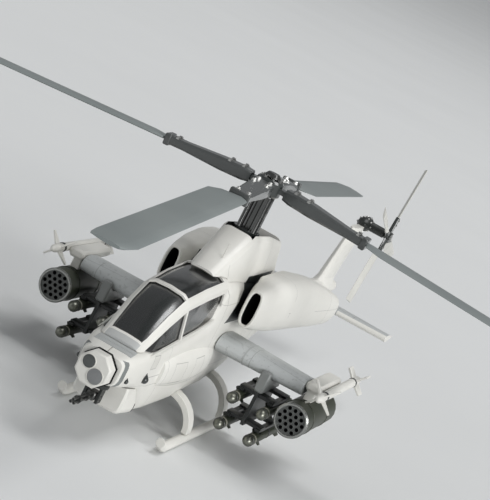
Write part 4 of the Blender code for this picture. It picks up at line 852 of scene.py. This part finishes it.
def draped(half, front, rear):
    """A thin strip that lies over both halves of the fuselage."""
    work = bmesh.new()
    bmesh.ops.create_grid(work, x_segments=DECK_ACROSS, y_segments=DECK_ALONG, size=0.5)
    for vertex in work.verts:
        x, y = vertex.co.x * 2 * half, front + (vertex.co.y + 0.5) * (rear - front)
        off_seam = math.copysign(max(abs(x), SEAM), x)
        top = top_of(HALVES[x < 0], off_seam, y).z
        vertex.co = (x, y, (top - MAST_FOOT.z) / MM + DECK_LIFT)
    bmesh.ops.solidify(work, geom=work.faces[:], thickness=DECK_THICK)
    bmesh.ops.recalc_face_normals(work, faces=work.faces)
    return work


strips = [(draped(DECK_HALF, *strip), at(0, 0, 0)) for strip in DECK_STRIPS]
# Painted shade, in part: the deck strips' grey.
gather("deck_strips", "airframe", "white_plastic", NOSE_SHADE_AND_STRAP_PAINT, strips)
strap("chin_fairing", "chin_gap", "dark_plastic", BLACK, 1, CHIN_GAP, CHIN_GAP_LIFT)
print("deck strips:", len(strips))

# %% [markdown]
# The canopy is sealed with black rubber along its rails. A whip stands on the front of the rotor's
# fairing.

# %% Canopy seals and whip
RAILS = ((-75.6, 6.4), (-74.0, 6.6), (-65.0, 7.2), (-55.0, 7.6), (-40.0, 7.9), (-24.4, 8.0))
RAIL_IN, SEAL_RADIUS, SEAL_STEPS = 1.2, 0.16, 4
WHIP_PATH, WHIP_RADIUS = ((0, 0, -0.6), (0, 0.1, 1.5), (0, 0.5, 4.6)), 0.16
WHIP_NEAR = (2.4, -24.0, 62.0)


def rail_seals(side):
    path = []
    for (y0, x0), (y1, x1) in zip(RAILS, RAILS[1:]):
        for step in range(SEAL_STEPS):
            share = step / SEAL_STEPS
            x, y = x0 + share * (x1 - x0) - RAIL_IN, y0 + share * (y1 - y0)
            path.append((top_of("canopy_glass", side * x, y) - MAST_FOOT) / MM)
    return [(bent_rod(path, SEAL_RADIUS), at(0, 0, 0))]


gather("rail_seals", "airframe", "dark_plastic", RUBBER, both(rail_seals))
whip = (bent_rod(WHIP_PATH, WHIP_RADIUS), stand_on("rotor_fairing", *WHIP_NEAR))
gather("whip", "airframe", "white_plastic", PALE, [whip])
print("canopy sealed along", len(RAILS), "rail points")

# %% [markdown]
# The engines breathe through rounded lips. Each intake's lip and each exhaust's rim is a ring on the
# edge of its opening.

# %% Intakes and exhausts
LIP_X, LIP_Y, LIP_Z = 15.55, -10.4, 45.6
LIP_RADIUS, LIP_STEPS, LIP_SIDES = 0.52, 48, 12
INTAKE_HALF_X, INTAKE_HALF_Z, INTAKE_SQUARE = 2.3, 6.05, 3.0
EXHAUST_AT, EXHAUST_CANT, EXHAUST_OUT = (21.1, 66.0, 43.8), math.radians(12.0), 2.2
EXHAUST_RIM = (3.25, 4.12, -0.5, 0.12, 0.15)


def intake_lip(side):
    path = []
    for i in range(LIP_STEPS):
        angle = math.tau * i / LIP_STEPS
        c, s = math.cos(angle), math.sin(angle)
        x = math.copysign(abs(c) ** (2 / INTAKE_SQUARE), c) * INTAKE_HALF_X
        z = math.copysign(abs(s) ** (2 / INTAKE_SQUARE), s) * INTAKE_HALF_Z
        path.append((side * (LIP_X + x), LIP_Y, LIP_Z + z))
    return [(bent_rod(path, LIP_RADIUS, LIP_SIDES, closed=True), at(0, 0, 0))]


def exhaust_rim(side):
    out = Vector((side * math.sin(EXHAUST_CANT), math.cos(EXHAUST_CANT), 0))
    x, y, z = EXHAUST_AT
    place = Vector((side * x, y, z)) + out * EXHAUST_OUT
    return [(ring(*EXHAUST_RIM), at(*place, out))]


gather("intake_lips", "airframe", "white_plastic", CLEAN_WHITE, both(intake_lip))
gather("exhaust_rims", "airframe", "dark_plastic", GUN, both(exhaust_rim))
print("intake lip:", 2 * LIP_RADIUS, "mm thick")

# %% [markdown]
# Each wing and stabiliser carries a joint strap. The pods have a bright front rim, raised bands, and a collar on
# every tube, with a black ring in each tube's mouth as painted shade.

# %% Wing straps and rocket pods
WING_STRAP, STABILISER_STRAP = (20.9, 21.4, 0.14), (16.6, 17.1, 0.1)
ALONG = (0, 1, 0)
POD_RIM, POD_RIM_Y = (4.95, 5.8, -0.2, 0.9, 0.42), -17.9
POD_BAND, POD_BAND_PLACES = (5.4, 5.84, -0.5, 0.5, 0.14), (-9.5, 8.5)
POD_STEPS, TUBE_STEPS = 48, 20
TUBE_PITCH, TUBE_ROWS = 2.02, 5
TUBE_COLLAR, TUBE_RING_SHADE = (0.7, 0.86, -0.3, 0.3, 0.06), (0.5, 0.72, -0.3, 0.05, 0.02)

for side, name in zip((1, -1), SIDES):
    for kind, (start, end, lift) in (("wing", WING_STRAP), ("stabiliser", STABILISER_STRAP)):
        span = (side * start, side * end)
        strap(f"{kind}_{name}", f"{kind}_strap_{name}", "white_plastic", NOSE_SHADE_AND_STRAP_PAINT, 0, span, lift)


def on_pods(fitting, places):
    """A fitting at each place along a pod."""
    def maker(side):
        return [(fitting, at(side * POD_X, y, POD_Z, ALONG)) for y in places]
    return maker


def on_tubes(fitting):
    """A fitting on each tube of a pod's face."""
    def maker(side):
        rows = []
        most = TUBE_ROWS // 2
        for row in range(-most, most + 1):
            tubes = TUBE_ROWS - abs(row)
            for i in range(tubes):
                x = side * POD_X + (i - (tubes - 1) / 2) * TUBE_PITCH
                z = POD_Z + row * TUBE_PITCH * math.sqrt(3) / 2
                rows.append((fitting, at(x, POD_FACE, z, NOSE_OUT)))
        return rows
    return maker


rim, band = ring(*POD_RIM, POD_STEPS), ring(*POD_BAND, POD_STEPS)
gather("pod_rims", "airframe", "steel", RIM_METAL, both(on_pods(rim, (POD_RIM_Y,))))
gather("pod_bands", "airframe", "olive_plastic", OLIVE, both(on_pods(band, POD_BAND_PLACES)))
collars = both(on_tubes(ring(*TUBE_COLLAR, TUBE_STEPS)))
gather("tube_collars", "airframe", "olive_plastic", FACE_GREY, collars)
# Painted shade: a black ring in the mouth of every tube.
gather("tube_ring_shade", "airframe", "olive_plastic", BLACK, both(on_tubes(ring(*TUBE_RING_SHADE, TUBE_STEPS))))
print("launch tubes:", len(collars))

# %% [markdown]
# Each missile on a rack has a dark seeker ring behind its dome, a dull band after that and a dark joint
# at its middle. The wingtip missiles have a dark band at each end.

# %% Rings and bands of the missiles
MISSILE_RADIUS, RACK_X, RACK_Z, RACK_STEP_X, RACK_STEP_Z = 1.85, 30.4, 14.4, 5.5, 4.8
BAND_SINK = 0.3
MISSILE_RINGS = (
    ("seeker_rings", "steel", GUN, MISSILE_DOME_END, 0.7, 0.1, 0.06),
    ("missile_bands", "white_plastic", DULL_BAND, -16.2, 0.9, 0.06, 0.04),
    ("missile_joints", "dark_plastic", SATIN, -1.0, 1.6, 0.07, 0.05),
)
TIP_X, TIP_Z, TIP_RADIUS = 50.2, 33.0, 1.5
TIP_BANDS, TIP_BAND_RISE, TIP_BAND_EDGE = ((-13.4, 1.5), (24.6, 1.2)), 0.1, 0.05


def on_missiles(fitting, y):
    """A fitting on each of the four missiles of a rack."""
    def maker(side):
        rows = []
        for tier in (1, -1):
            for column in (1, -1):
                x, z = side * (RACK_X + column * RACK_STEP_X), RACK_Z + tier * RACK_STEP_Z
                rows.append((fitting, at(x, y, z, ALONG)))
        return rows
    return maker


def tip_bands(side):
    rows = []
    for y, length in TIP_BANDS:
        band = ring(TIP_RADIUS - BAND_SINK, TIP_RADIUS + TIP_BAND_RISE, 0, length, TIP_BAND_EDGE)
        rows.append((band, at(side * TIP_X, y, TIP_Z, ALONG)))
    return rows


for name, slot, material, y, length, rise, edge in MISSILE_RINGS:
    fitting = ring(MISSILE_RADIUS - BAND_SINK, MISSILE_RADIUS + rise, 0, length, edge)
    gather(name, "airframe", slot, material, both(on_missiles(fitting, y)))
gather("tip_bands", "airframe", "dark_plastic", SATIN, both(tip_bands))
print("kinds of missile ring:", len(MISSILE_RINGS))

# %% [markdown]
# The rotor head is bolted together. The bolts on the cuffs follow the same droop and turn as the arms
# of the hub, and a rubber boot closes the fairing round the mast.

# %% Rotor head
ARMS = 4
ROTOR_TURN, DROOP, DROOP_RADIUS = math.radians(3.0), math.radians(3.6), 10.0
CUFF_BOLT, CUFF_BOLTS = (0.7, 0.7), ((9.6, 2.1, 2.2), (14.6, 2.3, 2.2), (33.6, 1.8, 1.5))
CLAMP, CLAMP_REACH = (2.2, 7.0, 4.0, 0.5), 36.6
HUB_TOP, HUB_BOLT, HUB_BOLTS, HUB_BOLT_CIRCLE = 84.7, (0.42, 0.5), 8, 3.6
BOOT_FOOT, BOOT_TOP, BOOT_FOLDS = 58.4, 63.9, 5
BOOT_BORE, BOOT_FLANGE, BOOT_WIDE, BOOT_NARROW, BOOT_NECK = 2.4, 4.6, 4.5, 3.6, 3.2
FOLD_WIDE, FOLD_NARROW = 0.3, 0.8


def on_arm(index):
    """The frame of one drooping arm, drawn along +X from the hub."""
    tilt = Matrix.Rotation(DROOP, 4, "Y")
    pivot = Matrix.Translation((DROOP_RADIUS, 0, 0))
    spin = Matrix.Rotation(ROTOR_TURN + math.tau * index / ARMS, 4, "Z")
    return at(0, 0, HUB_Z) @ spin @ pivot @ tilt @ pivot.inverted()


cuff_bolts, root_clamps, hub_bolts = [], [], []
for index in range(ARMS):
    for reach, aside, height in CUFF_BOLTS:
        for side in (1, -1):
            place = Matrix.Translation((reach, side * aside, height))
            cuff_bolts.append((bolt(*CUFF_BOLT), on_arm(index) @ place))
    root_clamps.append((block(*CLAMP), on_arm(index) @ Matrix.Translation((CLAMP_REACH, 0, 0))))
for index in range(HUB_BOLTS):
    angle = math.tau * (index + 0.5) / HUB_BOLTS
    x, y = HUB_BOLT_CIRCLE * math.cos(angle), HUB_BOLT_CIRCLE * math.sin(angle)
    hub_bolts.append((bolt(*HUB_BOLT), at(x, y, HUB_TOP)))
gather("cuff_bolts", "main_rotor", "steel", STEEL, cuff_bolts)
gather("root_clamps", "main_rotor", "hub_plastic", CUFF_GREY, root_clamps)
gather("hub_bolts", "main_rotor", "steel", STEEL, hub_bolts)
boot = [(BOOT_BORE, BOOT_FOOT), (BOOT_FLANGE, BOOT_FOOT)]
for fold in range(BOOT_FOLDS):
    boot += [(BOOT_WIDE, BOOT_FOOT + FOLD_WIDE + fold), (BOOT_NARROW, BOOT_FOOT + FOLD_NARROW + fold)]
boot += [(BOOT_NECK, BOOT_TOP), (BOOT_BORE, BOOT_TOP)]
gather("mast_boot", "airframe", "dark_plastic", RUBBER, [(turned(boot, closed=True), at(0, 0, 0))])
print("bolts on the rotor head:", len(cuff_bolts) + len(hub_bolts))

# %% [markdown]
# The fin's foot has a flared fillet: the fin's own section, grown a little more at each level towards
# the boom.

# %% The fin's fillet
FIN_SECTION = (
    (0.0, 0.0), (0.015, 0.32), (0.05, 0.6), (0.13, 0.86), (0.28, 1.0), (0.6, 0.82), (1.0, 0.16),
)
FIN_FOOT_Z, FIN_TOP_Z = 29.0, 58.4
FIN_LEAD, FIN_TRAIL, FIN_THICK = (143.0, 163.0), (170.0, 188.0), (5.4, 3.4)
FILLET = ((33.2, 1.5), (34.0, 0.9), (35.2, 0.4), (36.8, 0.05))

half_outline = [(swell / 2, along) for along, swell in FIN_SECTION]
outline = half_outline + [(-x, y) for x, y in reversed(half_outline[1:])]
levels = []
for height, grow in FILLET:
    share = (height - FIN_FOOT_Z) / (FIN_TOP_Z - FIN_FOOT_Z)
    lead, trail, thick = (foot + share * (top - foot) for foot, top in (FIN_LEAD, FIN_TRAIL, FIN_THICK))
    size = Matrix.Diagonal((thick + 2 * grow, trail - lead + 2 * grow, 1, 1))
    levels.append(Matrix.Translation((0, lead - grow, height)) @ size)
fillet = swept(outline, levels)
gather("fin_fillet", "airframe", "white_plastic", CLEAN_WHITE, [(fillet, at(0, 0, 0))])
print("fillet:", round(FILLET[-1][0] - FILLET[0][0], 1), "mm high")

# %% [markdown]
# The tail's gearbox has two rings of bolts, and the tail rotor has a plate with bolts on it and along
# its grips.

# %% Gearbox and tail rotor
GEARBOX_BOLT, GEARBOX_BOLTS = (0.34, 0.4), 10
GEARBOX_ROWS, GEARBOX_REACH = (-3.2, 1.8), 3.0
TAIL_OUT, TAIL_ARMS, TAIL_TURN = (1, 0, 0), 4, math.radians(20.6)
TAIL_PLATE = (0.5, 1.9, 0.9, 1.5, 0.2)
CENTRE_BOLT, CENTRE_LIFT = (0.7, 0.6), 1.4
GRIP_BOLT, GRIP_BOLTS = (0.36, 0.4), ((1.4, 1.5), (5.4, 0.9), (7.6, 0.9))

gearbox_bolts = []
for index in range(GEARBOX_BOLTS):
    angle = math.tau * index / GEARBOX_BOLTS
    out = (math.cos(angle), 0, math.sin(angle))
    for aft in GEARBOX_ROWS:
        place = (out[0] * GEARBOX_REACH, TAIL_HUB.y + aft, TAIL_HUB.z + out[2] * GEARBOX_REACH)
        gearbox_bolts.append((bolt(*GEARBOX_BOLT), at(*place, out)))
gather("gearbox_bolts", "airframe", "steel", STEEL, gearbox_bolts)
tail_bolts = [(bolt(*CENTRE_BOLT), at(TAIL_HUB.x + CENTRE_LIFT, TAIL_HUB.y, TAIL_HUB.z, TAIL_OUT))]
for index in range(TAIL_ARMS):
    angle = TAIL_TURN + math.tau * index / TAIL_ARMS
    for reach, lift in GRIP_BOLTS:
        y, z = TAIL_HUB.y + math.sin(angle) * reach, TAIL_HUB.z + math.cos(angle) * reach
        tail_bolts.append((bolt(*GRIP_BOLT), at(TAIL_HUB.x + lift, y, z, TAIL_OUT)))
plate = [(ring(*TAIL_PLATE), at(*TAIL_HUB, TAIL_OUT))]
gather("tail_plate", "tail_rotor", "blade_plastic", GLOSS, plate)
gather("tail_bolts", "tail_rotor", "blade_plastic", STEEL, tail_bolts)
print("bolts on the tail:", len(gearbox_bolts) + len(tail_bolts))

# %% [markdown]
# Each of the gun's three muzzles has a crown round its bore, and a black disc in each bore is painted shade.

# %% Gun muzzles
BARRELS, GUN_Z, MUZZLE_Y, BARREL_CIRCLE = 3, 15.2, -96.7, 0.62
CROWN, CROWN_STEPS = (0.22, 0.5, -0.9, 0.06, 0.06), 20
BORE_RADIUS, BORE_LOW, BORE_HIGH, BORE_STEPS = 0.24, -0.2, 0.02, 12
crown = ring(*CROWN, CROWN_STEPS)
bore_profile = [(0, BORE_LOW), (BORE_RADIUS, BORE_LOW), (BORE_RADIUS, BORE_HIGH), (0, BORE_HIGH)]
bore = turned(bore_profile, BORE_STEPS)
muzzles = []
for index in range(BARRELS):
    angle = math.tau * index / BARRELS + math.pi / 2
    x, z = BARREL_CIRCLE * math.cos(angle), GUN_Z + BARREL_CIRCLE * math.sin(angle)
    muzzles.append(at(x, MUZZLE_Y, z, NOSE_OUT))
gather("muzzle_crowns", "gun_barrels", "gun_metal", GUN, [(crown, muzzle) for muzzle in muzzles])
# Painted shade: a black disc in each bore.
gather("muzzle_disc_shade", "gun_barrels", "gun_metal", BLACK, [(bore, muzzle) for muzzle in muzzles])
